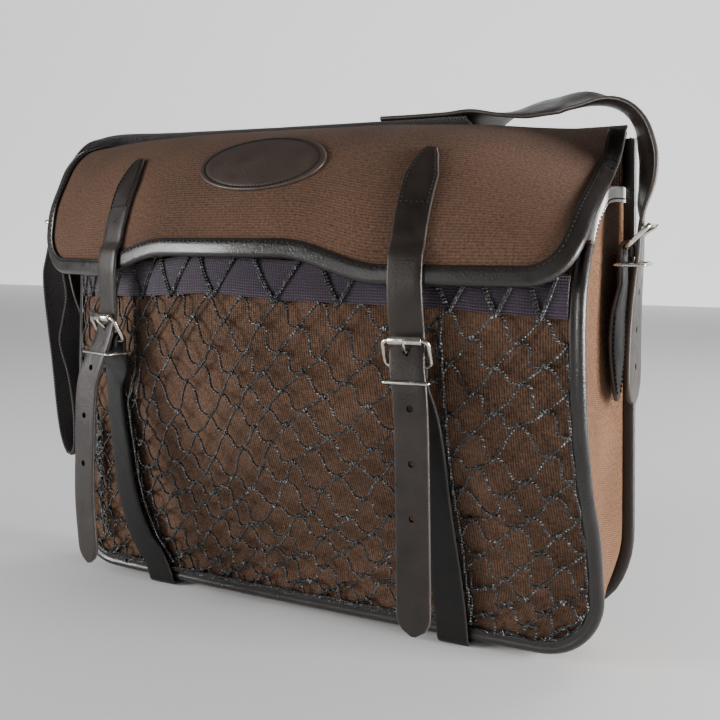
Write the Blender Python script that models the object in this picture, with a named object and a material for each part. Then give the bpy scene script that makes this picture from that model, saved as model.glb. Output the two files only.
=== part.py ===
"""Hunting game bag, a standalone Blender 4.5 script: blender --background --python part.py

Metres, +Z up. The front faces -Y and the bag stands on its flat bottom, centred on the origin.
A depth is a distance forward from the outer face of the back panel.
"""
import math

import bmesh
import bpy
from mathutils import Vector

# Body sizes
BACK_Y = 0.025
HALF_WIDTH = 0.2025
CORNER_RADIUS = 0.038
BACK_CORNER_RADIUS = 0.070
CLOTH = 0.002
BACK_THICKNESS = 0.003
BACK_TOP = 0.3160
BACK_BINDING_HALF_WIDTH = 0.0034
BACK_BINDING_HALF_THICKNESS = 0.0021
GAP = 0.0004

# Front seam: the piping's tube and the flange that lies on the front panel
PIPING_HALF_WIDTH = 0.2025
PIPING_BOTTOM = 0.0062
PIPING_RADIUS = 0.0028
FLANGE_WIDTH = 0.0055
FLANGE_THICKNESS = 0.0012
FLANGE_LIFT = 0.0011

# The front panel seen from the side: height, then depth at the left edge, middle and right edge
FRONT_ROWS = (
    # height, left, middle, right
    (0.000, 0.046, 0.052, 0.053),
    (0.025, 0.044, 0.059, 0.056),
    (0.050, 0.043, 0.067, 0.060),
    (0.080, 0.043, 0.079, 0.068),
    (0.110, 0.043, 0.092, 0.084),
    (0.145, 0.043, 0.106, 0.096),
    (0.185, 0.042, 0.119, 0.101),
    (0.220, 0.041, 0.121, 0.099),
    (0.250, 0.042, 0.114, 0.084),
    (0.280, 0.045, 0.101, 0.066),
)
# The flap from the back seam, over the top and down: depth and height of each edge and the middle
FLAP_ROWS = (
    # left depth, left height, middle depth, middle height, right depth, right height
    (-0.0015, 0.3175, -0.0015, 0.3175, -0.0015, 0.3190),
    (0.0135, 0.3175, 0.0140, 0.3218, 0.0085, 0.3115),
    (0.0390, 0.3125, 0.0400, 0.3226, 0.0230, 0.2965),
    (0.0540, 0.3005, 0.0680, 0.3165, 0.0420, 0.2845),
    (0.0625, 0.2855, 0.0920, 0.3025, 0.0600, 0.2745),
    (0.0705, 0.2690, 0.1085, 0.2840, 0.0770, 0.2650),
    (0.0735, 0.2530, 0.1195, 0.2645, 0.0920, 0.2550),
    (0.0745, 0.2370, 0.1275, 0.2435, 0.1030, 0.2430),
    (0.0745, 0.2190, 0.1315, 0.2200, 0.1100, 0.2200),
)
# Where the tight right strap presses the front in: x, height, reach across, reach up, depth of the dent
DENT = (0.112, 0.178, 0.032, 0.036, 0.0045)
LEFT_POWER = 1.8
RIGHT_POWER = 1.5
HEIGHT_POWER = 4.0

# Top edges
PANEL_TOP_LEFT = 0.276
PANEL_TOP_MIDDLE = 0.270
PANEL_TOP_RIGHT = 0.247
GUSSET_TOP_BACK = 0.280
# How far the gusset dishes in at each side, how far it rises to the piping, and the hem on its top
GUSSET_DISH = 0.0028
GUSSET_RISE = 0.0040
HEM_LEG = 0.0085
HEM_WALL = 0.0018
HEM_SPARE = 0.0008
HEM_OVER = 0.0014

# Flap
FLAP_HALF_WIDTH = 0.2038
FLAP_CORNER = 0.029
FLAP_EDGE_HEIGHT = 0.2250
FLAP_ARCH = 0.0145
FLAP_HALF_CLOTH = 0.0009
FLAP_BINDING_INNER = 0.0020
FLAP_BINDING_OUTER = 0.0031
FLAP_BINDING_WIDTH = 0.010

# Closing straps
STRAP_WIDTH = 0.0205
STRAP_THICKNESS = 0.0027
HOLE_RADIUS = 0.002
CHAPE_THICKNESS = 0.0025

# Net pocket
NET_COLUMNS = 18
NET_ROWS = 10
NET_STRAND = 0.0011
NET_THICKNESS = 0.0014
NET_OFFSET = 0.0013
NET_SLACK = 0.0085
NET_HALF_WIDTH = 0.197
NET_HALF_HEIGHT = 0.100
BAND_HEIGHT = 0.0235
BAND_THICKNESS = 0.0016

# Shoulder strap
SHOULDER_WIDTH = 0.038
WEBBING_THICKNESS = 0.0025
LEATHER_THICKNESS = 0.0029
TAB_THICKNESS = 0.0024


def smoothstep(value):
    value = min(max(value, 0.0), 1.0)
    return value * value * (3.0 - 2.0 * value)


def interpolate(rows, place, column):
    """Read a column of a table at a place in its first column, along a smooth curve."""
    keys = [row[0] for row in rows]
    place = min(max(place, keys[0]), keys[-1])
    index = max(i for i in range(len(rows) - 1) if keys[i] <= place + 1e-12)
    low, high = rows[index], rows[index + 1]
    before = rows[max(index - 1, 0)]
    after = rows[min(index + 2, len(rows) - 1)]
    span = high[0] - low[0]
    part = (place - low[0]) / span
    slope_low = (high[column] - before[column]) / (high[0] - before[0]) * span
    slope_high = (after[column] - low[column]) / (after[0] - low[0]) * span
    square = part * part
    cube = square * part
    return ((2 * cube - 3 * square + 1) * low[column] + (cube - 2 * square + part) * slope_low
            + (3 * square - 2 * cube) * high[column] + (cube - square) * slope_high)


def smooth_stations(rows, spacing):
    """Points every spacing or so along a smooth curve through rows whose first three columns are a place."""
    travelled = [0.0]
    for low, high in zip(rows, rows[1:]):
        travelled.append(travelled[-1] + (Vector(high[:3]) - Vector(low[:3])).length)
    keyed = [(run,) + tuple(row) for run, row in zip(travelled, rows)]
    count = max(2, round(travelled[-1] / spacing))
    columns = range(1, len(rows[0]) + 1)
    places = [travelled[-1] * i / count for i in range(count + 1)]
    return [tuple(interpolate(keyed, place, column) for column in columns) for place in places]


def at(x, depth, z):
    return Vector((x, BACK_Y - depth, z))


def front_depth(x, z):
    """Depth of the front panel's outer face."""
    across = x / HALF_WIDTH
    dent_x, dent_z, reach_x, reach_z, pressed = DENT
    dent = pressed * math.exp(-((x - dent_x) / reach_x) ** 2 - ((z - dent_z) / reach_z) ** 2)
    middle = interpolate(FRONT_ROWS, z, 2) - dent
    if across < 0:
        return middle + (interpolate(FRONT_ROWS, z, 1) - middle) * abs(across) ** LEFT_POWER
    return middle + (interpolate(FRONT_ROWS, z, 3) - middle) * across ** RIGHT_POWER


FLAP_TABLE = tuple((float(number),) + row for number, row in enumerate(FLAP_ROWS))


def flap_point(x, along):
    """Middle of the flap's cloth, along counting the rows of FLAP_ROWS from the back seam."""
    across = x / FLAP_HALF_WIDTH
    side = 1 if across < 0 else 5
    power = LEFT_POWER if across < 0 else RIGHT_POWER
    side_depth, side_height = interpolate(FLAP_TABLE, along, side), interpolate(FLAP_TABLE, along, side + 1)
    depth, height = interpolate(FLAP_TABLE, along, 3), interpolate(FLAP_TABLE, along, 4)
    depth += (side_depth - depth) * abs(across) ** power
    height += (side_height - height) * abs(across) ** HEIGHT_POWER
    return at(x, depth, height)


def flap_normal(x, along):
    step = 0.05
    last = len(FLAP_ROWS) - 1
    low, high = max(along - step, 0.0), min(along + step, last)
    down = flap_point(x, high) - flap_point(x, low)
    right = flap_point(x + 0.001, along) - flap_point(x - 0.001, along)
    return down.cross(right).normalized()


def flap_edge_height(x):
    arch = smoothstep((x + 0.128) / 0.070) * smoothstep((0.094 - x) / 0.065)
    height = FLAP_EDGE_HEIGHT + FLAP_ARCH * arch
    past = abs(x) - (FLAP_HALF_WIDTH - FLAP_CORNER)
    if past > 0:
        height += FLAP_CORNER - math.sqrt(max(FLAP_CORNER ** 2 - past ** 2, 0.0))
    return height


def flap_edge_along(x):
    """Where the flap ends at x, by halving."""
    low, high = 4.0, len(FLAP_ROWS) - 1.0
    target = flap_edge_height(x)
    for _ in range(40):
        middle = (low + high) / 2
        if flap_point(x, middle).z > target:
            low = middle
        else:
            high = middle
    return (low + high) / 2


def material(name, color, roughness, metallic=0.0):
    made = bpy.data.materials.new(name)
    made.use_nodes = True
    shader = made.node_tree.nodes["Principled BSDF"]
    shader.inputs["Base Color"].default_value = (*color, 1.0)
    shader.inputs["Roughness"].default_value = roughness
    shader.inputs["Metallic"].default_value = metallic
    return made


CLOTH_LOOK = ((0.075, 0.035, 0.020), 0.85, 0.0)
LEATHER_LOOK = ((0.020, 0.013, 0.011), 0.35, 0.0)
WEBBING_LOOK = ((0.030, 0.022, 0.024), 0.80, 0.0)
BAND_LOOK = ((0.050, 0.028, 0.060), 0.75, 0.0)
NET_LOOK = ((0.012, 0.011, 0.012), 0.60, 0.0)
METAL_LOOK = ((0.55, 0.53, 0.50), 0.25, 1.0)


def finish(name, mesh, look, sharp_degrees=40.0):
    """Turn a bmesh into one closed object with its own material, facing out."""
    bmesh.ops.remove_doubles(mesh, verts=mesh.verts, dist=0.000002)
    bmesh.ops.recalc_face_normals(mesh, faces=mesh.faces)
    data = bpy.data.meshes.new(name)
    mesh.to_mesh(data)
    mesh.free()
    data.shade_smooth()
    data.set_sharp_from_angle(angle=math.radians(sharp_degrees))
    made = bpy.data.objects.new(name, data)
    data.materials.append(material(name, *look))
    bpy.context.scene.collection.objects.link(made)
    return made


def loft(name, rings, look, closed=False, sharp_degrees=40.0):
    """Join rings of points into a tube, capped at its ends or closed on itself."""
    mesh = bmesh.new()
    made = [[mesh.verts.new(point) for point in ring] for ring in rings]
    pairs = list(zip(made, made[1:]))
    if closed:
        pairs.append((made[-1], made[0]))
    for low, high in pairs:
        for index in range(len(low)):
            after = (index + 1) % len(low)
            mesh.faces.new((low[index], low[after], high[after], high[index]))
    if not closed:
        mesh.faces.new(made[0])
        mesh.faces.new(made[-1])
    return finish(name, mesh, look, sharp_degrees)


def shell(name, outer, inner, look):
    """A closed wall between two grids of points of the same size."""
    mesh = bmesh.new()
    faces = [[[mesh.verts.new(point) for point in row] for row in grid] for grid in (outer, inner)]
    rows, columns = len(outer), len(outer[0])
    for grid in faces:
        for r in range(rows - 1):
            for c in range(columns - 1):
                mesh.faces.new((grid[r][c], grid[r][c + 1], grid[r + 1][c + 1], grid[r + 1][c]))
    rim = [(0, c) for c in range(columns)] + [(r, columns - 1) for r in range(1, rows)]
    rim += [(rows - 1, c) for c in range(columns - 2, -1, -1)] + [(r, 0) for r in range(rows - 2, 0, -1)]
    for (r0, c0), (r1, c1) in zip(rim, rim[1:] + rim[:1]):
        mesh.faces.new((faces[0][r0][c0], faces[0][r1][c1], faces[1][r1][c1], faces[1][r0][c0]))
    return finish(name, mesh, look)


def ribbon_rings(stations, thickness):
    """Flat strap: each station is its centre, the way across it, and its width there."""
    rings = []
    for index, (centre, across, width) in enumerate(stations):
        before = stations[max(index - 1, 0)][0]
        after = stations[min(index + 1, len(stations) - 1)][0]
        forward = (after - before).normalized()
        across = (across - forward * across.dot(forward)).normalized()
        out = forward.cross(across)
        half, thick = across * width / 2, out * thickness / 2
        near, far = centre - thick, centre + thick
        rings.append([near - half, near + half, far + half, far - half])
    return rings


def rounded_tip(stations, tip_length):
    """Narrow the last stations of a strap to a round end."""
    end = stations[-1][0]
    made = []
    for centre, across, width in stations:
        left = (centre - end).length
        if left < tip_length:
            width *= max(math.sqrt(max(1 - (1 - left / tip_length) ** 2, 0.0)), 0.22)
        made.append((centre, across, width))
    return made


def wire_loop(name, points, radius, sides=6):
    """Closed wire of round section through points in a plane."""
    count = len(points)
    normal = Vector()
    for index in range(count):
        normal += points[index].cross(points[(index + 1) % count])
    normal.normalize()
    rings = []
    for index, point in enumerate(points):
        forward = (points[(index + 1) % count] - points[index - 1]).normalized()
        out = forward.cross(normal).normalized()
        turn = [2 * math.pi * side / sides for side in range(sides)]
        rings.append([point + out * radius * math.cos(a) + normal * radius * math.sin(a) for a in turn])
    return loft(name, rings, METAL_LOOK, closed=True)


def rod(name, points, radius, across, sides=6):
    """Capped round rod bent in one plane, through points, with the way across that plane."""
    rings = []
    for index, point in enumerate(points):
        forward = (points[min(index + 1, len(points) - 1)] - points[max(index - 1, 0)]).normalized()
        up = across.cross(forward)
        turn = [2 * math.pi * step / sides for step in range(sides)]
        rings.append([point + across * radius * math.cos(a) + up * radius * math.sin(a) for a in turn])
    return loft(name, rings, METAL_LOOK)


def rounded_rectangle(centre, across, along, half_across, half_along, corner):
    """Points round a rectangle with round corners, in the plane of two directions."""
    points = []
    for number, (sign_a, sign_b) in enumerate(((1, 1), (-1, 1), (-1, -1), (1, -1))):
        for step in range(3):
            angle = math.radians(90 * number + 45 * step)
            a = sign_a * (half_across - corner) + corner * math.cos(angle)
            b = sign_b * (half_along - corner) + corner * math.sin(angle)
            points.append(centre + across * a + along * b)
    return points


def cut_holes(target, places, outs, radius, length):
    """Punch round holes through a strap with Boolean cutters."""
    for number, (place, out) in enumerate(zip(places, outs)):
        cutter_mesh = bpy.data.meshes.new(f"cutter_{target.name}_{number}")
        mesh = bmesh.new()
        bmesh.ops.create_cone(mesh, cap_ends=True, segments=8, radius1=radius, radius2=radius, depth=length)
        mesh.to_mesh(cutter_mesh)
        mesh.free()
        cutter = bpy.data.objects.new(cutter_mesh.name, cutter_mesh)
        cutter.location = place
        cutter.rotation_euler = out.to_track_quat("Z", "Y").to_euler()
        cutter.hide_render = True
        cutter.display_type = "WIRE"
        bpy.context.scene.collection.objects.link(cutter)
        cut = target.modifiers.new(f"hole_{number}", "BOOLEAN")
        cut.operation = "DIFFERENCE"
        cut.solver = "EXACT"
        cut.object = cutter


# Middle of each chape under the bag, and the places along the bottom seam that follow from them
CHAPE_BASE = {"left": -0.1145, "right": 0.1125}
RECESS_FLAT, RECESS_END = 0.0135, 0.0172
RECESS_DEPTH = 0.0034
BOTTOM_PLACES = tuple(
    [CHAPE_BASE["right"] + reach for reach in (RECESS_END, RECESS_FLAT, -RECESS_FLAT, -RECESS_END)]
    + [0.045, 0.0, -0.045]
    + [CHAPE_BASE["left"] + reach for reach in (RECESS_END, RECESS_FLAT, -RECESS_FLAT, -RECESS_END)])


def outline(half_width, bottom, radius, top_right, top_left):
    """Seam path from the right top, round the bottom, to the left top: x, z and the way out."""
    side_steps, corner_steps = 8, 5
    inner = half_width - radius
    points = []
    for step in range(side_steps):
        part = step / side_steps
        points.append((half_width, top_right + (bottom + radius - top_right) * part, 1.0, 0.0))
    for step in range(corner_steps):
        angle = math.radians(90 * step / corner_steps)
        cosine, sine = math.cos(angle), math.sin(angle)
        points.append((inner + radius * cosine, bottom + radius - radius * sine, cosine, -sine))
    points += [(x, bottom, 0.0, -1.0) for x in (inner,) + BOTTOM_PLACES]
    for step in range(corner_steps):
        angle = math.radians(90 * step / corner_steps)
        cosine, sine = math.cos(angle), math.sin(angle)
        points.append((-inner - radius * sine, bottom + radius - radius * cosine, -sine, -cosine))
    for step in range(side_steps + 1):
        part = step / side_steps
        points.append((-half_width, bottom + radius + (top_left - bottom - radius) * part, -1.0, 0.0))
    return points


def edge_limit(z, half_width, bottom, radius):
    """Half of the width at height z inside an outline with round bottom corners."""
    below = bottom + radius - z
    if below <= 0:
        return half_width
    return half_width - radius + math.sqrt(max(radius ** 2 - below ** 2, 0.0))


def back_panel():
    """Flat wall with round bottom corners."""
    seam = outline(HALF_WIDTH - GAP, 0.0004, BACK_CORNER_RADIUS, BACK_TOP - 0.004, BACK_TOP - 0.004)
    profile = [(x, z) for x, z, _, _ in seam]
    profile += [(-0.190, BACK_TOP - 0.001), (-0.150, BACK_TOP), (0.150, BACK_TOP), (0.190, BACK_TOP - 0.001)]
    rings = [[at(x, depth, z) for x, z in profile] for depth in (0.0, BACK_THICKNESS)]
    loft("back_panel", rings, CLOTH_LOOK)


# How the gusset's open top falls from back to front: part of the way, right height, left height
GUSSET_TOP_ROWS = (
    # part, right, left
    (0.0, GUSSET_TOP_BACK, GUSSET_TOP_BACK),
    (0.35, 0.2790, 0.2800),
    (0.60, 0.2735, 0.2795),
    (0.80, 0.2610, 0.2780),
    (1.0, PANEL_TOP_RIGHT, PANEL_TOP_LEFT),
)
GUSSET_PARTS = (0.0, 0.3, 0.6, 0.84, 1.0)


def chape_recess(x):
    """How far the bottom is pressed up where a chape passes under it."""
    reach = min(abs(x - centre) for centre in CHAPE_BASE.values())
    return RECESS_DEPTH * smoothstep((RECESS_END - reach) / (RECESS_END - RECESS_FLAT))


def gusset_point(number, part, inset):
    """A point of the gusset: its place along the seam, part of the way to the front, and its inset."""
    front = outline(HALF_WIDTH, 0.0, CORNER_RADIUS, PANEL_TOP_RIGHT, PANEL_TOP_LEFT)[number]
    back = outline(HALF_WIDTH, 0.0, BACK_CORNER_RADIUS, GUSSET_TOP_BACK, GUSSET_TOP_BACK)[number]
    reach = front_depth(front[0], max(front[1], PIPING_BOTTOM)) - PIPING_RADIUS - 0.0006
    start = BACK_THICKNESS + GAP
    depth = start + (reach - start) * part
    x, z, out_x, out_z = (b + (f - b) * part for b, f in zip(back, front))
    if abs(out_x) > 0.999:
        column = 1 if x > 0 else 2
        bottom = BACK_CORNER_RADIUS + (CORNER_RADIUS - BACK_CORNER_RADIUS) * part
        straight = GUSSET_TOP_BACK + (GUSSET_TOP_ROWS[-1][column] - GUSSET_TOP_BACK) * part
        risen = (z - bottom) / (straight - bottom)
        z = bottom + (interpolate(GUSSET_TOP_ROWS, part, column) - bottom) * risen
        inset += GUSSET_DISH * math.sin(math.pi * part) * math.sin(math.pi * risen) ** 2
    lift = max(-out_z, 0.0) * GUSSET_RISE * smoothstep((part - 0.78) / 0.22)
    if abs(out_x) < 0.2:
        lift = max(lift, chape_recess(x))
    return at(x - out_x * inset, depth, z - out_z * inset + lift)


def gusset():
    count = len(outline(HALF_WIDTH, 0.0, CORNER_RADIUS, PANEL_TOP_RIGHT, PANEL_TOP_LEFT))
    outer = [[gusset_point(n, part, 0.0) for part in GUSSET_PARTS] for n in range(count)]
    inner = [[gusset_point(n, part, CLOTH) for part in GUSSET_PARTS] for n in range(count)]
    shell("gusset", outer, inner, CLOTH_LOOK)
    return count


def gusset_hems(count):
    """Leather folded over each open gusset top, as a channel along the edge."""
    for name, number, sign in (("gusset_hem_right", 0, 1), ("gusset_hem_left", count - 1, -1)):
        rings = []
        for part in (0.02,) + GUSSET_PARTS[1:-1] + (0.98,):
            rim = gusset_point(number, part, 0.0)
            low = gusset_point(1 if number == 0 else count - 2, part, 0.0)
            down = (low - rim).normalized()
            out = Vector((sign, 0, 0))
            half = CLOTH / 2
            centre = rim - out * half
            wall, skin = half + HEM_SPARE, half + HEM_WALL
            profile = ((skin, HEM_LEG), (skin, -HEM_OVER), (-skin, -HEM_OVER), (-skin, HEM_LEG),
                       (-wall, HEM_LEG), (-wall, -GAP), (wall, -GAP), (wall, HEM_LEG))
            rings.append([centre + out * a + down * b for a, b in profile])
        loft(name, rings, LEATHER_LOOK)


def panel_top(x):
    across = x / HALF_WIDTH
    edge = PANEL_TOP_LEFT if across < 0 else PANEL_TOP_RIGHT
    return PANEL_TOP_MIDDLE + (edge - PANEL_TOP_MIDDLE) * across ** 4


def front_panel():
    """Wall inside the piping, bulged by FRONT_ROWS."""
    columns, rows = 16, 12
    widest = math.radians(85)
    limit = PIPING_HALF_WIDTH - PIPING_RADIUS - 0.0006
    bottom = PIPING_BOTTOM + PIPING_RADIUS + 0.0006
    radius = CORNER_RADIUS - (HALF_WIDTH - limit)
    grids = ([], [])
    for row in range(rows + 1):
        part = (row / rows) ** 1.25
        level = bottom + (PANEL_TOP_MIDDLE - bottom) * part
        half = edge_limit(level, limit, bottom, radius)
        lines = ([], [])
        for column in range(columns + 1):
            spread = 2 * column / columns - 1
            x = half * math.sin(widest * spread) / math.sin(widest)
            z = bottom + (panel_top(x) - bottom) * part
            depth = front_depth(x, z)
            lines[0].append(at(x, depth, z))
            lines[1].append(at(x, depth - CLOTH, z))
        grids[0].append(lines[0])
        grids[1].append(lines[1])
    shell("front_panel", grids[0], grids[1], CLOTH_LOOK)


def front_seam_rings(profile, half_width, bottom, top_right, top_left):
    """Sweep a profile of (way out, depth forward of the panel) pairs round the front seam."""
    radius = CORNER_RADIUS - (HALF_WIDTH - half_width)
    rings = []
    for x, z, out_x, out_z in outline(half_width, bottom, radius, top_right, top_left):
        ring = []
        for out, forward in profile:
            px, pz = x + out_x * out, z + out_z * out
            ring.append(at(px, front_depth(px, pz) + forward, pz))
        rings.append(ring)
    return rings


def front_piping():
    """Tube of the piping with its flange on the panel, one leather piece."""
    profile = [(PIPING_RADIUS * math.cos(a), PIPING_RADIUS * math.sin(a))
               for a in (math.radians(60 * step) for step in range(-2, 3))]
    top = FLANGE_LIFT + FLANGE_THICKNESS
    profile += [(-0.0034, top), (-FLANGE_WIDTH, top), (-FLANGE_WIDTH, FLANGE_LIFT), (-0.0029, FLANGE_LIFT)]
    rings = front_seam_rings(profile, PIPING_HALF_WIDTH, PIPING_BOTTOM, PANEL_TOP_RIGHT, PANEL_TOP_LEFT)
    loft("front_piping", rings, LEATHER_LOOK)


def back_binding():
    """Leather bound round the back seam: it stands out at the sides and lies on the back at the bottom."""
    half_long, half_thick = BACK_BINDING_HALF_WIDTH, BACK_BINDING_HALF_THICKNESS
    seam = outline(HALF_WIDTH, 0.0, BACK_CORNER_RADIUS, BACK_TOP - 0.005, BACK_TOP - 0.005)
    rings = []
    for x, z, out_x, out_z in seam:
        down = max(-out_z, 0.0)
        behind = smoothstep(down * 2)
        tucked = smoothstep(down * 2 - 1)
        out = (half_long + GAP) * (1 - tucked) - (half_long + 0.0002) * tucked
        depth = 0.0014 * (1 - behind) - (half_thick + GAP) * behind
        ring = []
        for a, b in ((1, 0), (0.7, -1), (-0.7, -1), (-1, 0), (-0.7, 1), (0.7, 1)):
            reach = out + half_long * a
            ring.append(at(x + out_x * reach, depth - half_thick * b, z + out_z * reach))
        rings.append(ring)
    loft("back_binding", rings, LEATHER_LOOK)


def flap_columns():
    """Places across the flap, closer together round its corners."""
    straight = FLAP_HALF_WIDTH - FLAP_CORNER
    corner = [straight + FLAP_CORNER * math.sin(math.radians(angle)) for angle in (25, 47, 68, 90)]
    middle = [-straight + 2 * straight * step / 16 for step in range(17)]
    return [-x for x in reversed(corner)] + middle + corner


FLAP_PARTS = (0.0, 0.115, 0.185, 0.26, 0.335, 0.42, 0.52, 0.62, 0.73, 0.83, 0.92, 1.0)


def flap():
    grids = ([], [])
    for part in FLAP_PARTS:
        lines = ([], [])
        for x in flap_columns():
            along = flap_edge_along(x) * part
            middle, normal = flap_point(x, along), flap_normal(x, along)
            lines[0].append(middle + normal * FLAP_HALF_CLOTH)
            lines[1].append(middle - normal * FLAP_HALF_CLOTH)
        grids[0].append(lines[0])
        grids[1].append(lines[1])
    shell("flap", grids[0], grids[1], CLOTH_LOOK)


def flap_edge_path():
    """Places (x, along) down the left edge, along the lower edge and up the right edge."""
    places = []
    columns = flap_columns()
    left_end, right_end = flap_edge_along(columns[0]), flap_edge_along(columns[-1])
    places += [(columns[0], left_end * part) for part in FLAP_PARTS[1:-1]]
    places += [(x, flap_edge_along(x)) for x in columns]
    places += [(columns[-1], right_end * part) for part in FLAP_PARTS[-2:0:-1]]
    return places


def flap_binding():
    places = flap_edge_path()
    points = [flap_point(x, along) for x, along in places]
    inner, outer, width = FLAP_BINDING_INNER, FLAP_BINDING_OUTER, FLAP_BINDING_WIDTH
    profile = ((width, outer), (-0.0014, outer), (-0.0014, -outer), (width, -outer),
               (width, -inner), (-0.0004, -inner), (-0.0004, inner), (width, inner))
    rings = []
    for index, (x, along) in enumerate(places):
        normal = flap_normal(x, along)
        forward = (points[min(index + 1, len(points) - 1)] - points[max(index - 1, 0)]).normalized()
        inward = normal.cross(forward).normalized()
        rings.append([points[index] + inward * a + normal * b for a, b in profile])
    loft("flap_binding", rings, LEATHER_LOOK)


def badge():
    """Bare oval leather patch on the flap."""
    half_wide, half_high, centre_x, centre_along = 0.0455, 0.0200, -0.001, 4.42
    middle = flap_point(centre_x, centre_along)
    rings_out, rings_in = [], []
    rows = 2
    for row in range(rows + 1):
        part = row / rows
        lines = ([], [])
        for step in range(25):
            angle = 2 * math.pi * step / 24
            x = centre_x + half_wide * part * math.cos(angle)
            rise = half_high * part * math.sin(angle)
            along = flap_along_at(x, middle.z + rise * 0.86)
            point, normal = flap_point(x, along), flap_normal(x, along)
            lines[0].append(point + normal * (FLAP_HALF_CLOTH + GAP + 0.0018))
            lines[1].append(point + normal * (FLAP_HALF_CLOTH + GAP))
        rings_out.append(lines[0])
        rings_in.append(lines[1])
    mesh = bmesh.new()
    outer = [[mesh.verts.new(point) for point in ring[:-1]] for ring in rings_out[1:]]
    inner = [[mesh.verts.new(point) for point in ring[:-1]] for ring in rings_in[1:]]
    for grid, centre in ((outer, rings_out[0][0]), (inner, rings_in[0][0])):
        hub = mesh.verts.new(centre)
        for step in range(24):
            after = (step + 1) % 24
            mesh.faces.new((hub, grid[0][step], grid[0][after]))
            for low, high in zip(grid, grid[1:]):
                mesh.faces.new((low[step], high[step], high[after], low[after]))
    for step in range(24):
        after = (step + 1) % 24
        mesh.faces.new((outer[-1][step], inner[-1][step], inner[-1][after], outer[-1][after]))
    finish("badge", mesh, LEATHER_LOOK)


def flap_along_at(x, height):
    """Where along the flap its front reaches a height at x."""
    low, high = 2.0, len(FLAP_ROWS) - 1.0
    for _ in range(40):
        middle = (low + high) / 2
        if flap_point(x, middle).z > height:
            low = middle
        else:
            high = middle
    return (low + high) / 2


# Closing straps on the flap: height of the strap's tip and of the place where it leaves the flap
STRAP_TOP = 0.3010
# Below the flap's edge, for each side: x, depth, height, turn of the strap's face in degrees
BILLET_ROWS = {
    "right": (
        # x, depth, height, turn
        (0.1112, 0.1262, 0.2130, 9),
        (0.1109, 0.1224, 0.1935, 9),
        (0.1121, 0.1254, 0.1780, 8),
        (0.1140, 0.1262, 0.1650, 6),
        (0.1145, 0.1250, 0.1470, 4),
        (0.1139, 0.1220, 0.1100, 4),
        (0.1138, 0.1205, 0.0680, 4),
        (0.1138, 0.1195, 0.0275, 4),
    ),
    "left": (
        (-0.1115, 0.1150, 0.213, -20),
        (-0.1130, 0.1130, 0.1970, -20),
        (-0.1155, 0.1155, 0.1820, -18),
        (-0.1216, 0.1175, 0.1660, -14),
        (-0.1279, 0.1170, 0.1500, -10),
        (-0.1305, 0.1165, 0.1100, -12),
        (-0.1312, 0.1160, 0.0700, -12),
        (-0.1277, 0.1155, 0.0310, -14),
    ),
}
FLAP_STRAP = {"right": ((0.300, 0.1070), (0.224, 0.1105)), "left": ((0.300, -0.1085), (0.224, -0.1090))}
HOLE_HEIGHTS = {"right": (0.1560, 0.1250, 0.0940), "left": (0.1632, 0.1305, 0.0980)}


def turned(degrees):
    angle = math.radians(degrees)
    return Vector((math.cos(angle), math.sin(angle), 0.0))


def billet_stations(side):
    (top_z, top_x), (low_z, low_x) = FLAP_STRAP[side]
    stations = []
    lift = FLAP_HALF_CLOTH + GAP + STRAP_THICKNESS / 2
    over_binding = FLAP_BINDING_OUTER + 2 * GAP + STRAP_THICKNESS / 2
    end_along = flap_edge_along(low_x)
    start_along = flap_along_at(top_x, STRAP_TOP)
    steps = 12
    for step in range(steps + 1):
        along = start_along + (end_along - start_along) * step / steps
        height = flap_point(top_x, along).z
        x = low_x + (top_x - low_x) * (height - low_z) / (top_z - low_z)
        point, normal = flap_point(x, along), flap_normal(x, along)
        near_edge = smoothstep((0.022 - (height - low_z)) / 0.007)
        offset = lift + (over_binding - lift) * near_edge
        across = flap_point(x + 0.004, along) - flap_point(x - 0.004, along)
        taper = min(1.0, 0.36 + 0.64 * (STRAP_TOP - height) / 0.034) if height > STRAP_TOP - 0.034 else 1.0
        stations.append((point + normal * offset, across.normalized(), STRAP_WIDTH * taper))
    return stations


def billet_course(side):
    upper = billet_stations(side)
    lower = [(x, BACK_Y - depth, z, *turned(turn)) for x, depth, z, turn in BILLET_ROWS[side]]
    joint = [(*upper[-1][0], *upper[-1][1])]
    smooth = smooth_stations(joint + lower, 0.0085)
    stations = upper[:-1] + [(Vector(row[:3]), Vector(row[3:6]), STRAP_WIDTH) for row in smooth]
    return rounded_tip(stations, 0.011)


def billet(side, stations, prong_place, prong_way):
    """Closing strap, sewn on the flap and hanging free below the buckle."""
    made = loft(f"billet_{side}", ribbon_rings(stations, STRAP_THICKNESS), LEATHER_LOOK)
    places, outs = [prong_place], [prong_way]
    for height in HOLE_HEIGHTS[side]:
        centre, across = station_at(stations, height)
        places.append(centre)
        outs.append(across.cross(Vector((0, 0, 1))).normalized())
    cut_holes(made, places, outs, HOLE_RADIUS, 0.010)


def station_at(stations, height):
    for low, high in zip(stations, stations[1:]):
        if low[0].z >= height >= high[0].z:
            part = (low[0].z - height) / (low[0].z - high[0].z)
            return low[0].lerp(high[0], part), low[1].lerp(high[1], part)
    raise ValueError("no strap at that height")


BUCKLES = {
    # heights of the roller, the bar under it and the keeper, and the turn of the frame
    "right": {"roller_z": 0.1935, "bar_z": 0.1785, "keeper_z": 0.1705, "turn": 9},
    "left": {"roller_z": 0.1970, "bar_z": 0.1820, "keeper_z": 0.1735, "turn": -19},
}
WIRE_RADIUS = 0.0014
ROLLER_RADIUS = 0.0027
PRONG_RADIUS = 0.0009
KEEPER_RADIUS = 0.0010
KEEPER_SPARE = {"right": 0.0030, "left": 0.0060, "side": 0.0024}
SLOT_WIDTH = 0.0036
FRAME_CORNER = 0.0035
KEEPER_CORNER = 0.0019


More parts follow.
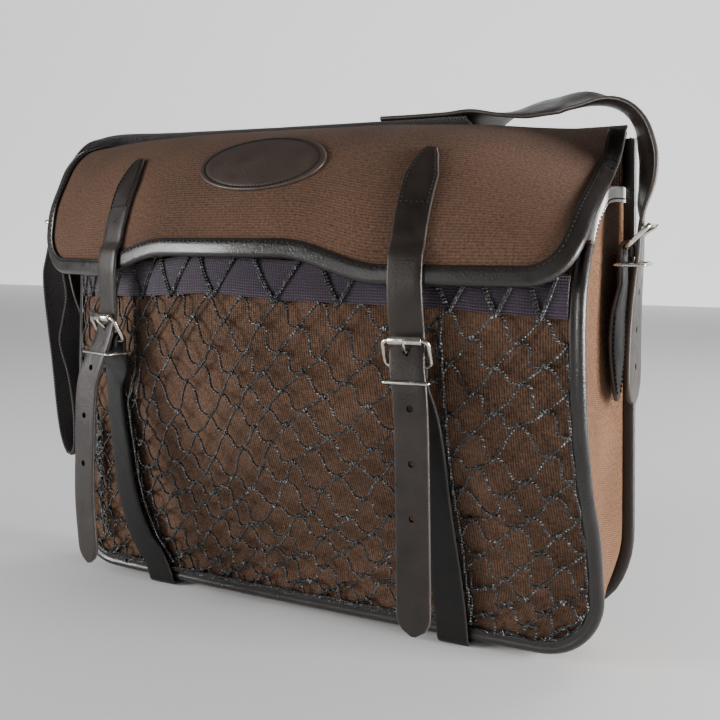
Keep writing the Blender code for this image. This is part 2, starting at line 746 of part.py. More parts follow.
def prong(name, bar, rest, rest_radius, across):
    """Hook round a bar, then straight through the strap, with the tip over the far bar.

    Returns the ends of the straight stretch. The far bar is passed on the side that the strap's tail lies.
    """
    up = (rest - bar).normalized()
    front = across.cross(up).normalized()
    hook, lift = WIRE_RADIUS + PRONG_RADIUS + 0.0003, rest_radius + PRONG_RADIUS + 0.0003
    lean = math.degrees(math.asin((hook + lift) / (rest - bar).length))
    points = []
    for degrees in (185, 150, 120, 90 - lean):
        angle = math.radians(degrees)
        points.append(bar + up * hook * math.cos(angle) - front * hook * math.sin(angle))
    over = rest + front * lift
    ends = points[-1], over
    points += [over - up * 0.0010 - front * 0.0003, over + up * 0.0028 - front * 0.0002]
    rod(name, points, PRONG_RADIUS, across)
    return ends


def crossing(stations, start, end):
    """Where a straight line meets a hanging strap, and the line's direction."""
    places = [start.lerp(end, step / 200) for step in range(201)]
    gaps = [abs(place.y - station_at(stations, place.z)[0].y) for place in places]
    return places[gaps.index(min(gaps))], (end - start).normalized()


def cut_slot(target, bar, across, out, low, high):
    """Slot in a leather loop round a bar, where the prong's hook passes."""
    slot = bpy.data.meshes.new(f"cutter_{target.name}_slot")
    mesh = bmesh.new()
    corners = [[[mesh.verts.new(bar + across * a * SLOT_WIDTH / 2 + out * b * 0.0065 + Vector((0, 0, c)))
                 for a in (-1, 1)] for b in (-1, 1)] for c in (low, high)]
    bottom, top = corners
    for face in ((bottom[0][0], bottom[0][1], bottom[1][1], bottom[1][0]),
                 (top[0][0], top[0][1], top[1][1], top[1][0]),
                 (bottom[0][0], bottom[0][1], top[0][1], top[0][0]),
                 (bottom[1][0], bottom[1][1], top[1][1], top[1][0]),
                 (bottom[0][0], bottom[1][0], top[1][0], top[0][0]),
                 (bottom[0][1], bottom[1][1], top[1][1], top[0][1])):
        mesh.faces.new(face)
    bmesh.ops.recalc_face_normals(mesh, faces=mesh.faces)
    mesh.to_mesh(slot)
    mesh.free()
    cutter = bpy.data.objects.new(slot.name, slot)
    cutter.hide_render = True
    cutter.display_type = "WIRE"
    bpy.context.scene.collection.objects.link(cutter)
    cut = target.modifiers.new("slot", "BOOLEAN")
    cut.operation = "DIFFERENCE"
    cut.solver = "EXACT"
    cut.object = cutter


def buckle(side, stations):
    """Frame, roller, prong and keeper, placed on the strap that passes through them."""
    sizes = BUCKLES[side]
    across = turned(sizes["turn"])
    out = across.cross(Vector((0, 0, 1))).normalized()
    half_strap = STRAP_THICKNESS / 2
    roller_at = station_at(stations, sizes["roller_z"])[0] + out * (half_strap + 2 * GAP + ROLLER_RADIUS)
    wrapped = WIRE_RADIUS + GAP + CHAPE_THICKNESS
    bar_at = station_at(stations, sizes["bar_z"])[0] - out * (half_strap + 2 * GAP + wrapped)
    bar_at += across * (roller_at - bar_at).dot(across)
    up = (roller_at - bar_at).normalized()
    half_across = STRAP_WIDTH / 2 + WIRE_RADIUS + KEEPER_SPARE[side] / 2
    half_up = (roller_at - bar_at).length / 2
    frame = rounded_rectangle((roller_at + bar_at) / 2, across, up, half_across, half_up, FRAME_CORNER)
    wire_loop(f"buckle_{side}", frame, WIRE_RADIUS)
    roller(side, roller_at, across)
    start, over = prong(f"prong_{side}", bar_at, roller_at, ROLLER_RADIUS, across)
    billet(side, stations, *crossing(stations, start, over))
    front = station_at(stations, sizes["keeper_z"])[0] + out * (half_strap + 3 * GAP + KEEPER_RADIUS)
    behind = bar_at - out * (wrapped + 3 * GAP + KEEPER_RADIUS)
    depth = (front - behind).dot(out)
    centre = front - out * depth / 2
    centre.z = sizes["keeper_z"]
    centre += across * (bar_at - centre).dot(across) / 2
    half_across = STRAP_WIDTH / 2 + KEEPER_SPARE[side]
    wire_loop(f"keeper_{side}", rounded_rectangle(centre, across, out, half_across, depth / 2, KEEPER_CORNER),
              KEEPER_RADIUS)
    return bar_at, across, out


def roller(side, centre, across):
    """Tube on the frame's bar, with a small running gap."""
    half, inner = STRAP_WIDTH / 2 - 0.0005, WIRE_RADIUS + 0.0003
    guide = Vector((0, 0, 1))
    back = across.cross(guide)
    mesh = bmesh.new()
    loops, sides = [], 10
    turns = [2 * math.pi * side / sides for side in range(sides)]
    for reach, radius in ((-half, ROLLER_RADIUS), (half, ROLLER_RADIUS), (half, inner), (-half, inner)):
        ring = [back * radius * math.cos(turn) + guide * radius * math.sin(turn) for turn in turns]
        loops.append([mesh.verts.new(centre + across * reach + point) for point in ring])
    for low, high in zip(loops, loops[1:] + loops[:1]):
        for s in range(sides):
            after = (s + 1) % sides
            mesh.faces.new((low[s], low[after], high[after], high[s]))
    finish(f"roller_{side}", mesh, METAL_LOOK)


# The chapes from the buckle down over the net, at each side: x and height
CHAPE_ROWS = {
    "right": ((0.1130, 0.150), (0.1144, 0.128), (0.1122, 0.095), (0.1117, 0.050), (0.1125, 0.022)),
    "left": ((-0.1330, 0.152), (-0.1370, 0.128), (-0.1382, 0.100), (-0.1392, 0.075), (-0.1360, 0.050),
             (-0.1285, 0.031), (-0.1195, 0.0205)),
}
CHAPE_OFFSET = 0.0052


def chape(side, bar_at, across, out):
    """Strap round the buckle's bar, down over the net, round the bottom seam and under the bag."""
    wrap = WIRE_RADIUS + GAP + CHAPE_THICKNESS / 2
    rows = []
    up = Vector((0, 0, 1))
    rows.append((*(bar_at + out * wrap - up * 0.0045), *across))
    for degrees in (0, 45, 90, 135, 180):
        angle = math.radians(degrees)
        rows.append((*(bar_at + out * wrap * math.cos(angle) + up * wrap * math.sin(angle)), *across))
    rows.append((*(bar_at - out * (wrap + 0.0002) - up * 0.010), *across))
    for x, z in CHAPE_ROWS[side]:
        rise = front_depth(x + 0.010, z) - front_depth(x - 0.010, z)
        slope = Vector((0.020, -rise, 0.0)).normalized()
        rows.append((x, BACK_Y - front_depth(x, z) - CHAPE_OFFSET - CHAPE_THICKNESS / 2, z, *slope))
    base = CHAPE_BASE[side]
    seam = front_depth(base, PIPING_BOTTOM)
    round_seam = PIPING_RADIUS + 0.0009 + CHAPE_THICKNESS / 2
    straight = turned(0)
    for degrees in (0, -30, -60, -90):
        angle = math.radians(degrees)
        depth = seam + 0.0020 + (round_seam - 0.0008) * math.cos(angle)
        rows.append((base, BACK_Y - depth, PIPING_BOTTOM + round_seam * math.sin(angle), *straight))
    level = PIPING_BOTTOM - round_seam
    rows.append((base, BACK_Y - seam + 0.010, level, *straight))
    rows.append((base, BACK_Y - 0.006, level, *straight))
    smooth = smooth_chape(rows)
    stations = [(Vector(row[:3]), Vector(row[3:6]), STRAP_WIDTH) for row in smooth]
    made = loft(f"chape_{side}", ribbon_rings(stations, CHAPE_THICKNESS), LEATHER_LOOK)
    cut_slot(made, bar_at, across, out, -0.0034, 0.0070)


def smooth_chape(rows):
    """Keep the tight turns' own points and smooth the long runs between them."""
    first, last = rows[:6], rows[-6:]
    middle = smooth_stations(rows[5:-5], 0.011)
    return first + middle[1:-1] + last


def band_bottom(x):
    rows = ((-0.2, 0.2075), (-0.1, 0.2105), (-0.03, 0.2155), (0.035, 0.2130), (0.11, 0.2115), (0.2, 0.2065))
    return interpolate(rows, x, 1)


def pocket_limits():
    limit = PIPING_HALF_WIDTH - FLANGE_WIDTH - 2 * GAP
    bottom = PIPING_BOTTOM + FLANGE_WIDTH + 2 * GAP
    return limit, bottom, CORNER_RADIUS - (HALF_WIDTH - limit)


def pocket_band():
    """Elastic band across the net's mouth."""
    limit = pocket_limits()[0]
    rings = []
    for step in range(27):
        x = limit * (2 * step / 26 - 1)
        low = band_bottom(x)
        ring = []
        for height, forward in ((0, 0), (1, 0), (1, 1), (0, 1)):
            z = low + BAND_HEIGHT * height
            ring.append(at(x, front_depth(x, z) + NET_OFFSET + BAND_THICKNESS * forward, z))
        rings.append(ring)
    loft("pocket_band", rings, BAND_LOOK)


def chape_x(side, z):
    rows = tuple((row[1], row[0]) for row in reversed(CHAPE_ROWS[side]))
    return interpolate(rows, z, 1)


def net_slack(x, z, part):
    """How far the net hangs off the panel, pressed flat under the chapes and sewn down at the seams."""
    clear = min(abs(x - chape_x(side, z)) for side in ("left", "right"))
    across = 1 - min(abs(x) / HALF_WIDTH, 1.0) ** 5
    return NET_SLACK * smoothstep((clear - 0.017) / 0.020) * across * math.sin(math.pi * part ** 0.75)


def net_point(across, part, forward):
    limit, bottom, radius = pocket_limits()
    x = across * limit
    z = bottom + (band_bottom(x) - GAP - bottom) * part
    beyond, below = (abs(x) - limit + radius) / radius, (bottom + radius - z) / radius
    if beyond > 0 and below > 0:
        x = math.copysign(limit - radius + radius * beyond * math.sqrt(1 - below ** 2 / 2), x)
        z = bottom + radius - radius * below * math.sqrt(1 - beyond ** 2 / 2)
    depth = front_depth(x, z) + NET_OFFSET + net_slack(x, z, part) + forward * NET_THICKNESS
    return at(x, depth, z)


def knot(column, row, way):
    """A corner of a knot's small square, in parts of the net's width and height."""
    half_x, half_z = NET_STRAND / NET_HALF_WIDTH, NET_STRAND / NET_HALF_HEIGHT
    left, up = {"left": (-1, 0), "right": (1, 0), "down": (0, -1), "up": (0, 1)}[way]
    across = (2 * column / NET_COLUMNS - 1) * (1 - half_x) + left * half_x
    part = half_z / 2 + row / NET_ROWS * (1 - half_z) + up * half_z / 2
    return round(across, 9), round(part, 9)


def net_patches():
    """The net's face: a small square at each knot, a strip for each cord, and a selvedge round it all."""
    patches = []
    for column in range(NET_COLUMNS + 1):
        for row in range(NET_ROWS + 1):
            if (column + row) % 2:
                continue
            patches.append([knot(column, row, way) for way in ("left", "down", "right", "up")])
            if column < NET_COLUMNS and row < NET_ROWS:
                patches.append([knot(column, row, "up"), knot(column, row, "right"),
                                knot(column + 1, row + 1, "down"), knot(column + 1, row + 1, "left")])
            if column > 0 and row < NET_ROWS:
                patches.append([knot(column, row, "left"), knot(column, row, "up"),
                                knot(column - 1, row + 1, "right"), knot(column - 1, row + 1, "down")])
    for row in range(0, NET_ROWS, 2):
        patches += selvedge(knot(0, row, "left"), knot(0, row, "up"),
                            knot(0, row + 2, "down"), knot(0, row + 2, "left"))
        last = NET_COLUMNS
        patches += selvedge(knot(last, row, "up"), knot(last, row, "right"),
                            knot(last, row + 2, "right"), knot(last, row + 2, "down"))
    for column in range(0, NET_COLUMNS, 2):
        patches += selvedge(knot(column, 0, "right"), knot(column, 0, "down"),
                            knot(column + 2, 0, "down"), knot(column + 2, 0, "left"))
        top = NET_ROWS
        patches += selvedge(knot(column, top, "up"), knot(column, top, "right"),
                            knot(column + 2, top, "left"), knot(column + 2, top, "up"))
    return patches


def selvedge(start_a, start_b, end_b, end_a):
    """A border strip between two knots, in short lengths that follow the seam."""
    def between(low, high, part):
        return tuple(round(a + (b - a) * part, 9) for a, b in zip(low, high))
    lengths = 2
    return [[between(start_a, end_a, n / lengths), between(start_b, end_b, n / lengths),
             between(start_b, end_b, (n + 1) / lengths), between(start_a, end_a, (n + 1) / lengths)]
            for n in range(lengths)]


def net_pocket():
    """Diamond net as one plate with its gaps cut through."""
    mesh = bmesh.new()
    made = {}
    patches = net_patches()
    for patch in patches:
        for place in patch:
            if place not in made:
                made[place] = [mesh.verts.new(net_point(*place, forward)) for forward in (1, 0)]
    edges = set()
    for patch in patches:
        edges |= set(zip(patch, patch[1:] + patch[:1]))
        for layer in (0, 1):
            mesh.faces.new([made[place][layer] for place in (patch if layer == 0 else patch[::-1])])
    for low, high in edges:
        if (high, low) not in edges:
            mesh.faces.new((made[low][0], made[low][1], made[high][1], made[high][0]))
    finish("net_pocket", mesh, NET_LOOK)


# Shoulder strap: its middle line, and the way across it towards the front as a direction
WEBBING_ROWS = (
    # x, depth, height, across in x, in depth, in height
    (0.1040, 0.0000, 0.3214, 0.00, 0.94, 0.34),
    (0.0500, 0.0000, 0.3212, 0.00, 0.94, 0.34),
    (0.0000, 0.0000, 0.3212, 0.00, 0.94, 0.34),
    (-0.0500, 0.0000, 0.3212, 0.00, 0.94, 0.34),
    (-0.1000, 0.0000, 0.3215, 0.00, 0.94, 0.34),
    (-0.1450, 0.0000, 0.3225, 0.00, 0.95, 0.31),
    (-0.1720, 0.0000, 0.3238, 0.00, 0.96, 0.28),
    (-0.1944, 0.0005, 0.3245, 0.00, 0.98, 0.20),
    (-0.2065, 0.0022, 0.3228, 0.00, 0.99, 0.12),
    (-0.2150, 0.0065, 0.3180, 0.00, 1.00, 0.05),
    (-0.2218, 0.0140, 0.3055, 0.00, 1.00, 0.00),
    (-0.2266, 0.0200, 0.2885, 0.00, 1.00, 0.00),
    (-0.2313, 0.0240, 0.2680, 0.00, 1.00, 0.00),
    (-0.2335, 0.0260, 0.2478, 0.00, 1.00, 0.00),
    (-0.2372, 0.0260, 0.2337, 0.00, 1.00, 0.00),
    (-0.2400, 0.0260, 0.2226, 0.00, 1.00, 0.00),
    (-0.2383, 0.0270, 0.2070, 0.00, 1.00, 0.00),
    (-0.2353, 0.0270, 0.1850, 0.00, 1.00, 0.00),
    (-0.2303, 0.0270, 0.1538, 0.00, 1.00, 0.00),
    (-0.2263, 0.0270, 0.1227, 0.00, 1.00, 0.00),
    (-0.2223, 0.0270, 0.0995, 0.00, 1.00, 0.00),
    (-0.2175, 0.0270, 0.0865, 0.00, 1.00, 0.00),
    (-0.2130, 0.0270, 0.0815, 0.00, 1.00, 0.00),
    (-0.2088, 0.0270, 0.0855, 0.00, 1.00, 0.00),
    (-0.2078, 0.0270, 0.1000, 0.00, 1.00, 0.00),
    (-0.2092, 0.0270, 0.1200, 0.00, 1.00, 0.00),
    (-0.2145, 0.0270, 0.1450, 0.00, 1.00, 0.00),
    (-0.2225, 0.0270, 0.1680, 0.00, 1.00, 0.00),
    (-0.2195, 0.0268, 0.1860, 0.00, 1.00, 0.00),
    (-0.2166, 0.0262, 0.2000, 0.00, 1.00, 0.00),
    (-0.2172, 0.0258, 0.2090, 0.00, 1.00, 0.00),
    (-0.2204, 0.0255, 0.2220, 0.00, 1.00, 0.00),
)
SHOULDER_LEATHER_ROWS = (
    (0.0420, 0.0000, 0.3244, 0.00, 0.94, 0.34),
    (0.0700, 0.0000, 0.3244, 0.00, 0.94, 0.34),
    (0.0900, 0.0000, 0.3248, 0.00, 0.94, 0.34),
    (0.1080, 0.0000, 0.3266, 0.00, 0.95, 0.30),
    (0.1270, 0.0000, 0.3302, 0.00, 0.99, -0.12),
    (0.1425, 0.0000, 0.3322, 0.00, 0.94, -0.33),
    (0.1560, 0.0010, 0.3337, 0.00, 0.93, -0.37),
    (0.1705, 0.0030, 0.3352, 0.00, 0.91, -0.40),
    (0.1830, 0.0070, 0.3338, 0.05, 0.95, -0.28),
    (0.1950, 0.0120, 0.3312, 0.14, 0.97, -0.15),
    (0.2045, 0.0170, 0.3272, 0.26, 0.95, -0.06),
    (0.2125, 0.0210, 0.3206, 0.36, 0.93, 0.00),
    (0.2180, 0.0235, 0.3120, 0.40, 0.91, 0.00),
    (0.2214, 0.0250, 0.3000, 0.42, 0.91, 0.00),
    (0.2220, 0.0260, 0.2890, 0.42, 0.91, 0.00),
    (0.2212, 0.0268, 0.2800, 0.38, 0.92, 0.00),
    (0.2195, 0.0275, 0.2710, 0.32, 0.95, 0.00),
    (0.2190, 0.0285, 0.2610, 0.20, 0.98, 0.00),
    (0.2185, 0.0290, 0.2510, 0.16, 0.98, 0.00),
    (0.2180, 0.0290, 0.2400, 0.14, 0.99, 0.00),
    (0.2166, 0.0290, 0.2250, 0.10, 0.99, 0.00),
    (0.2150, 0.0290, 0.2000, 0.06, 1.00, 0.00),
    (0.2144, 0.0290, 0.1750, 0.04, 1.00, 0.00),
    (0.2142, 0.0290, 0.1520, 0.04, 1.00, 0.00),
)
# Side tabs, with their width last
SIDE_ANCHOR_ROWS = (
    (0.2044, 0.0270, 0.1530, 0.00, 1.00, 0.00, 0.006),
    (0.2044, 0.0270, 0.1600, 0.00, 1.00, 0.00, 0.016),
    (0.2044, 0.0270, 0.1740, 0.00, 1.00, 0.00, 0.029),
    (0.2044, 0.0270, 0.1880, 0.00, 1.00, 0.00, 0.036),
    (0.2052, 0.0275, 0.2060, 0.03, 1.00, 0.00, 0.036),
    (0.2081, 0.0285, 0.2240, 0.12, 0.99, 0.00, 0.036),
)
LEFT_ANCHOR_ROWS = (
    (-0.2044, 0.0240, 0.1300, 0.00, 1.00, 0.00, 0.026),
    (-0.2044, 0.0240, 0.1500, 0.00, 1.00, 0.00, 0.029),
    (-0.2044, 0.0240, 0.1720, 0.00, 1.00, 0.00, 0.029),
    (-0.2065, 0.0242, 0.1880, 0.00, 1.00, 0.00, 0.030),
    (-0.2118, 0.0250, 0.2060, 0.00, 1.00, 0.00, 0.034),
    (-0.2182, 0.0258, 0.2320, 0.00, 1.00, 0.00, 0.034),
)
SIDE_BAR = (0.2116, 0.2445)
SIDE_OUTER_BAR = (0.2248, 0.2575)
SIDE_DEPTH = 0.0290
SIDE_ACROSS = Vector((0.140, -0.990, 0.0))
SIDE_KEEPER = (0.2143, 0.2345)
SIDE_KEEPER_HALF_DEPTH = 0.0086
SIDE_KEEPER_ACROSS = Vector((0.105, -0.9945, 0.0))
SHOULDER_HOLES = (0.2180, 0.1960, 0.1740)
LEFT_BAR = (-0.2255, 0.2600)
LEFT_OUTER_BAR = (-0.2356, 0.2620)
LEFT_DEPTH = 0.0250
LEFT_ACROSS = Vector((0.0, -1.0, 0.0))
STRAP_SPARE = 0.0036


def strap_stations(rows, spacing=0.0095):
    placed = []
    for x, depth, z, across_x, across_depth, across_z, *width in rows:
        placed.append((*at(x, depth, z), across_x, -across_depth, across_z, *(width or (SHOULDER_WIDTH,))))
    return [(Vector(row[:3]), Vector(row[3:6]), row[6]) for row in smooth_stations(placed, spacing)]


def shoulder_strap():
    webbing = strap_stations(WEBBING_ROWS, spacing=0.0125)
    loft("shoulder_webbing", ribbon_rings(webbing, WEBBING_THICKNESS), WEBBING_LOOK)
    stations = rounded_tip(strap_stations(SHOULDER_LEATHER_ROWS), 0.016)
    leather = loft("shoulder_leather", ribbon_rings(stations, LEATHER_THICKNESS), LEATHER_LOOK)
    places = [station_at(stations, height)[0] for height in SHOULDER_HOLES]
    outs = [Vector((1, 0, 0))] * len(places)
    bar = at(SIDE_BAR[0], SIDE_DEPTH, SIDE_BAR[1])
    outer = at(SIDE_OUTER_BAR[0], SIDE_DEPTH, SIDE_OUTER_BAR[1])
    start, over = prong("side_prong", bar, outer, WIRE_RADIUS, -SIDE_ACROSS)
    share = (stations_x(stations, start.z) - start.x) / (over.x - start.x)
    places.append(start.lerp(over, share))
    outs.append((over - start).normalized())
    cut_holes(leather, places, outs, HOLE_RADIUS, 0.010)


def stations_x(stations, height):
    return station_at(stations, height)[0].x


def tab_round_bar(name, rows, bar, depth, across, side):
    """Leather tab sewn on the gusset that wraps a wire bar, with its end turned down outside."""
    stations = strap_stations(rows, spacing=0.012)
    width = stations[-1][2]
    wrap = WIRE_RADIUS + GAP + TAB_THICKNESS / 2
    centre = at(bar[0], depth, bar[1])
    up = Vector((0, 0, 1))
    out = across.cross(up) * -side
    for degrees in (180, 135, 90, 45, 0):
        angle = math.radians(degrees)
        place = centre + out * wrap * math.cos(angle) + up * wrap * math.sin(angle)
        stations.append((place, across, width))
    stations.append((centre + out * wrap * 0.96 - up * 0.0055, across, width))
    return loft(name, ribbon_rings(stations, TAB_THICKNESS), LEATHER_LOOK), centre, out


def wire_frame(name, low, high, depth, across):
    """Rectangular wire with two long bars, at two places of x and height."""
    low_bar, high_bar = at(low[0], depth, low[1]), at(high[0], depth, high[1])
    along = (high_bar - low_bar).normalized()
    points = rounded_rectangle((low_bar + high_bar) / 2, across, along, SHOULDER_WIDTH / 2 + STRAP_SPARE,
                               (high_bar - low_bar).length / 2, FRAME_CORNER)
    wire_loop(name, points, WIRE_RADIUS)


def side_hardware():
    anchor, centre, out = tab_round_bar("side_anchor", SIDE_ANCHOR_ROWS, SIDE_BAR, SIDE_DEPTH, SIDE_ACROSS, 1)
    cut_slot(anchor, centre, SIDE_ACROSS, out, -0.0034, 0.0070)
    tab_round_bar("left_anchor", LEFT_ANCHOR_ROWS, LEFT_BAR, LEFT_DEPTH, LEFT_ACROSS, -1)
    wire_frame("side_buckle", SIDE_BAR, SIDE_OUTER_BAR, SIDE_DEPTH, SIDE_ACROSS)
    wire_frame("left_ring", LEFT_BAR, LEFT_OUTER_BAR, LEFT_DEPTH, LEFT_ACROSS)
    keeper = at(SIDE_KEEPER[0], SIDE_DEPTH, SIDE_KEEPER[1])
    half_across = SHOULDER_WIDTH / 2 + KEEPER_SPARE["side"]
    keeper_out = Vector((-SIDE_KEEPER_ACROSS.y, SIDE_KEEPER_ACROSS.x, 0))
    wire_loop("side_keeper",
              rounded_rectangle(keeper, SIDE_KEEPER_ACROSS, keeper_out, half_across, SIDE_KEEPER_HALF_DEPTH,
                                KEEPER_CORNER), KEEPER_RADIUS)


def clear_scene():
    for item in list(bpy.data.objects):
        bpy.data.objects.remove(item, do_unlink=True)


clear_scene()
back_panel()
seam_count = gusset()
gusset_hems(seam_count)
front_panel()
front_piping()
back_binding()
flap()
flap_binding()
badge()
net_pocket()
pocket_band()
shoulder_strap()
side_hardware()
for strap_side in ("left", "right"):
    bar_place, bar_across, bar_out = buckle(strap_side, billet_course(strap_side))
    chape(strap_side, bar_place, bar_across, bar_out)
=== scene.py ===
"""Hunting game bag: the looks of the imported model, in metres and in its frame.

A depth is a distance forward from the outer face of the back panel, which is at y = 0.025.
"""
import math
import random

import bmesh
import bpy
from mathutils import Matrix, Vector, noise


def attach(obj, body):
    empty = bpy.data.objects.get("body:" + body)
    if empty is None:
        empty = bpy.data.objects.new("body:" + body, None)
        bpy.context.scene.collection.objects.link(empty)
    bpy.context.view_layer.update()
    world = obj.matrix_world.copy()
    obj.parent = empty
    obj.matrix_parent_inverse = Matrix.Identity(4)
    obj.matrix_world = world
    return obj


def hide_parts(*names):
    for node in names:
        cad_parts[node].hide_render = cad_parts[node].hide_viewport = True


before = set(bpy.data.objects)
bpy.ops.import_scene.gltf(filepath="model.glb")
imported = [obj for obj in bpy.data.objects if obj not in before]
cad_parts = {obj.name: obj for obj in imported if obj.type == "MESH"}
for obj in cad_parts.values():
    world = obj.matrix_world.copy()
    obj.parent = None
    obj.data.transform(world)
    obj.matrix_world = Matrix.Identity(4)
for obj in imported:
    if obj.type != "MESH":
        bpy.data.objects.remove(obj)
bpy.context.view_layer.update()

# Front panel.
# Brown cotton cloth with a vertical rib, bulged by the load behind it. It is sewn to the gusset
# with a leather piping, and the net hangs over it.
BACK_Y = 0.025
HALF_WIDTH = 0.2025
CORNER_RADIUS = 0.038
BACK_CORNER_RADIUS = 0.070
CLOTH = 0.002
GAP = 0.0004
PIPING_HALF_WIDTH = 0.2025
PIPING_BOTTOM = 0.0062
PIPING_RADIUS = 0.0028
PANEL_TOP_LEFT, PANEL_TOP_MIDDLE, PANEL_TOP_RIGHT = 0.276, 0.270, 0.247
LEFT_POWER, RIGHT_POWER, HEIGHT_POWER = 1.8, 1.5, 4.0
FRONT_ROWS = (
    # height, then depth at the left edge, in the middle and at the right edge
    (0.000, 0.046, 0.052, 0.053),
    (0.025, 0.044, 0.059, 0.056),
    (0.050, 0.043, 0.067, 0.060),
    (0.080, 0.043, 0.079, 0.068),
    (0.110, 0.043, 0.092, 0.084),
    (0.145, 0.043, 0.106, 0.096),
    (0.185, 0.042, 0.119, 0.101),
    (0.220, 0.041, 0.121, 0.099),
    (0.250, 0.042, 0.114, 0.084),
    (0.280, 0.045, 0.101, 0.066),
)
# Where the tight right strap presses the front in: x, height, reach across, reach up, depth of the dent
DENT = (0.112, 0.178, 0.032, 0.036, 0.0045)


def interpolate(rows, place, column):
    """Read a column of a table at a place in its first column, along a smooth curve."""
    place = min(max(place, rows[0][0]), rows[-1][0])
    index = max(i for i in range(len(rows) - 1) if rows[i][0] <= place + 1e-12)
    low, high = rows[index], rows[index + 1]
    before, after = rows[max(index - 1, 0)], rows[min(index + 2, len(rows) - 1)]
    span = high[0] - low[0]
    part = (place - low[0]) / span
    slope_low = (high[column] - before[column]) / (high[0] - before[0]) * span
    slope_high = (after[column] - low[column]) / (after[0] - low[0]) * span
    square, cube = part * part, part * part * part
    return ((2 * cube - 3 * square + 1) * low[column] + (cube - 2 * square + part) * slope_low
            + (3 * square - 2 * cube) * high[column] + (cube - square) * slope_high)


def polar(radius, degrees):
    """A place on a circle: across and up from its centre."""
    return radius * math.cos(math.radians(degrees)), radius * math.sin(math.radians(degrees))


def smoothstep(value):
    value = min(max(value, 0.0), 1.0)
    return value * value * (3.0 - 2.0 * value)


def at(x, depth, z):
    return Vector((x, BACK_Y - depth, z))


def front_depth(x, z):
    """Depth of the front panel's outer face."""
    across = x / HALF_WIDTH
    dent_x, dent_z, reach_x, reach_z, pressed = DENT
    dent = pressed * math.exp(-((x - dent_x) / reach_x) ** 2 - ((z - dent_z) / reach_z) ** 2)
    middle = interpolate(FRONT_ROWS, z, 2) - dent
    if across < 0:
        return middle + (interpolate(FRONT_ROWS, z, 1) - middle) * abs(across) ** LEFT_POWER
    return middle + (interpolate(FRONT_ROWS, z, 3) - middle) * across ** RIGHT_POWER


def ripple(x, z, size, seed):
    """Soft unevenness from -1 to 1, in folds of about the size given."""
    return noise.noise(Vector((x / size, z / size, seed)))


def edge_limit(z, half_width, bottom, radius):
    """Half of the width at height z inside an outline with round bottom corners."""
    below = bottom + radius - z
    if below <= 0:
        return half_width
    return half_width - radius + math.sqrt(max(radius ** 2 - below ** 2, 0.0))


def loft(name, rings, finish, closed=False, edge=None, sharp_degrees=50.0):
    """Mesh through rings of points, with a UV map in metres across and along them.

    The second half of a ring runs back beside the first, so that the ends close with a row of quads.
    An edge list marks how much each point of a ring is a cut edge, for the finish to read.
    """
    count, around = len(rings), len(rings[0])
    middle = rings[count // 2]
    across = [0.0]
    for place in range(around):
        across.append(across[-1] + (middle[(place + 1) % around] - middle[place]).length)
    along = [0.0]
    for low, high in zip(rings, rings[1:] + rings[:1]):
        steps = [(high[place] - low[place]).length for place in range(0, around, max(1, around // 8))]
        along.append(along[-1] + sum(steps) / len(steps))
    faces, corners = [], []
    for ring in range(count if closed else count - 1):
        after = (ring + 1) % count
        for place in range(around):
            beside = (place + 1) % around
            faces.append((ring * around + place, ring * around + beside,
                          after * around + beside, after * around + place))
            corners += [(across[place], along[ring]), (across[place + 1], along[ring]),
                        (across[place + 1], along[ring + 1]), (across[place], along[ring + 1])]
    if not closed:
        for ring in (0, count - 1):
            for place in range(around // 2 - 1):
                quad = (place, place + 1, around - 2 - place, around - 1 - place)
                faces.append(tuple(ring * around + index for index in quad))
                corners += [(across[index], along[ring] + 0.001 * (index >= around // 2)) for index in quad]
    mesh = bpy.data.meshes.new(name)
    mesh.from_pydata([point for ring in rings for point in ring], [], faces)
    layer = mesh.uv_layers.new(name="UVMap")
    layer.data.foreach_set("uv", [value for corner in corners for value in corner])
    if edge:
        marks = mesh.attributes.new("edge", "FLOAT", "POINT")
        marks.data.foreach_set("value", list(edge) * count)
    return finished(name, mesh, finish, sharp_degrees)


def placed(name, data):
    """A new object at the origin of the scene."""
    made = bpy.data.objects.new(name, data)
    bpy.context.scene.collection.objects.link(made)
    return made


def finished(name, mesh, finish, sharp_degrees):
    """One object of a mesh, with its faces pointing outwards."""
    made = bmesh.new()
    made.from_mesh(mesh)
    bmesh.ops.recalc_face_normals(made, faces=made.faces)
    made.to_mesh(mesh)
    made.free()
    mesh.shade_smooth()
    mesh.set_sharp_from_angle(angle=math.radians(sharp_degrees))
    mesh.materials.append(finish.material)
    return placed(name, mesh)


def dress(piece, slot, *nodes):
    """Hang a piece on the bag's one body and let it stand for its CAD nodes."""
    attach(piece, "root")
    if nodes:
        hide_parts(*nodes)


class Socket:
    """An output of a shader node, with the operators that a finish's maths is written in."""

    def __init__(self, finish, output):
        self.finish = finish
        self.output = output

    def math(self, operation, *values, clamp=False):
        return self.finish.node("ShaderNodeMath", {"operation": operation, "use_clamp": clamp}, values)

    def __add__(self, other):
        return self.math("ADD", self, other)

    def __radd__(self, other):
        return self.math("ADD", other, self)

    def __sub__(self, other):
        return self.math("SUBTRACT", self, other)

    def __rsub__(self, other):
        return self.math("SUBTRACT", other, self)

    def __mul__(self, other):
        return self.math("MULTIPLY", self, other)

    def __rmul__(self, other):
        return self.math("MULTIPLY", other, self)

    def sine(self):
        return self.math("SINE", self)

    def clamped(self):
        return self.math("ADD", self, 0.0, clamp=True)


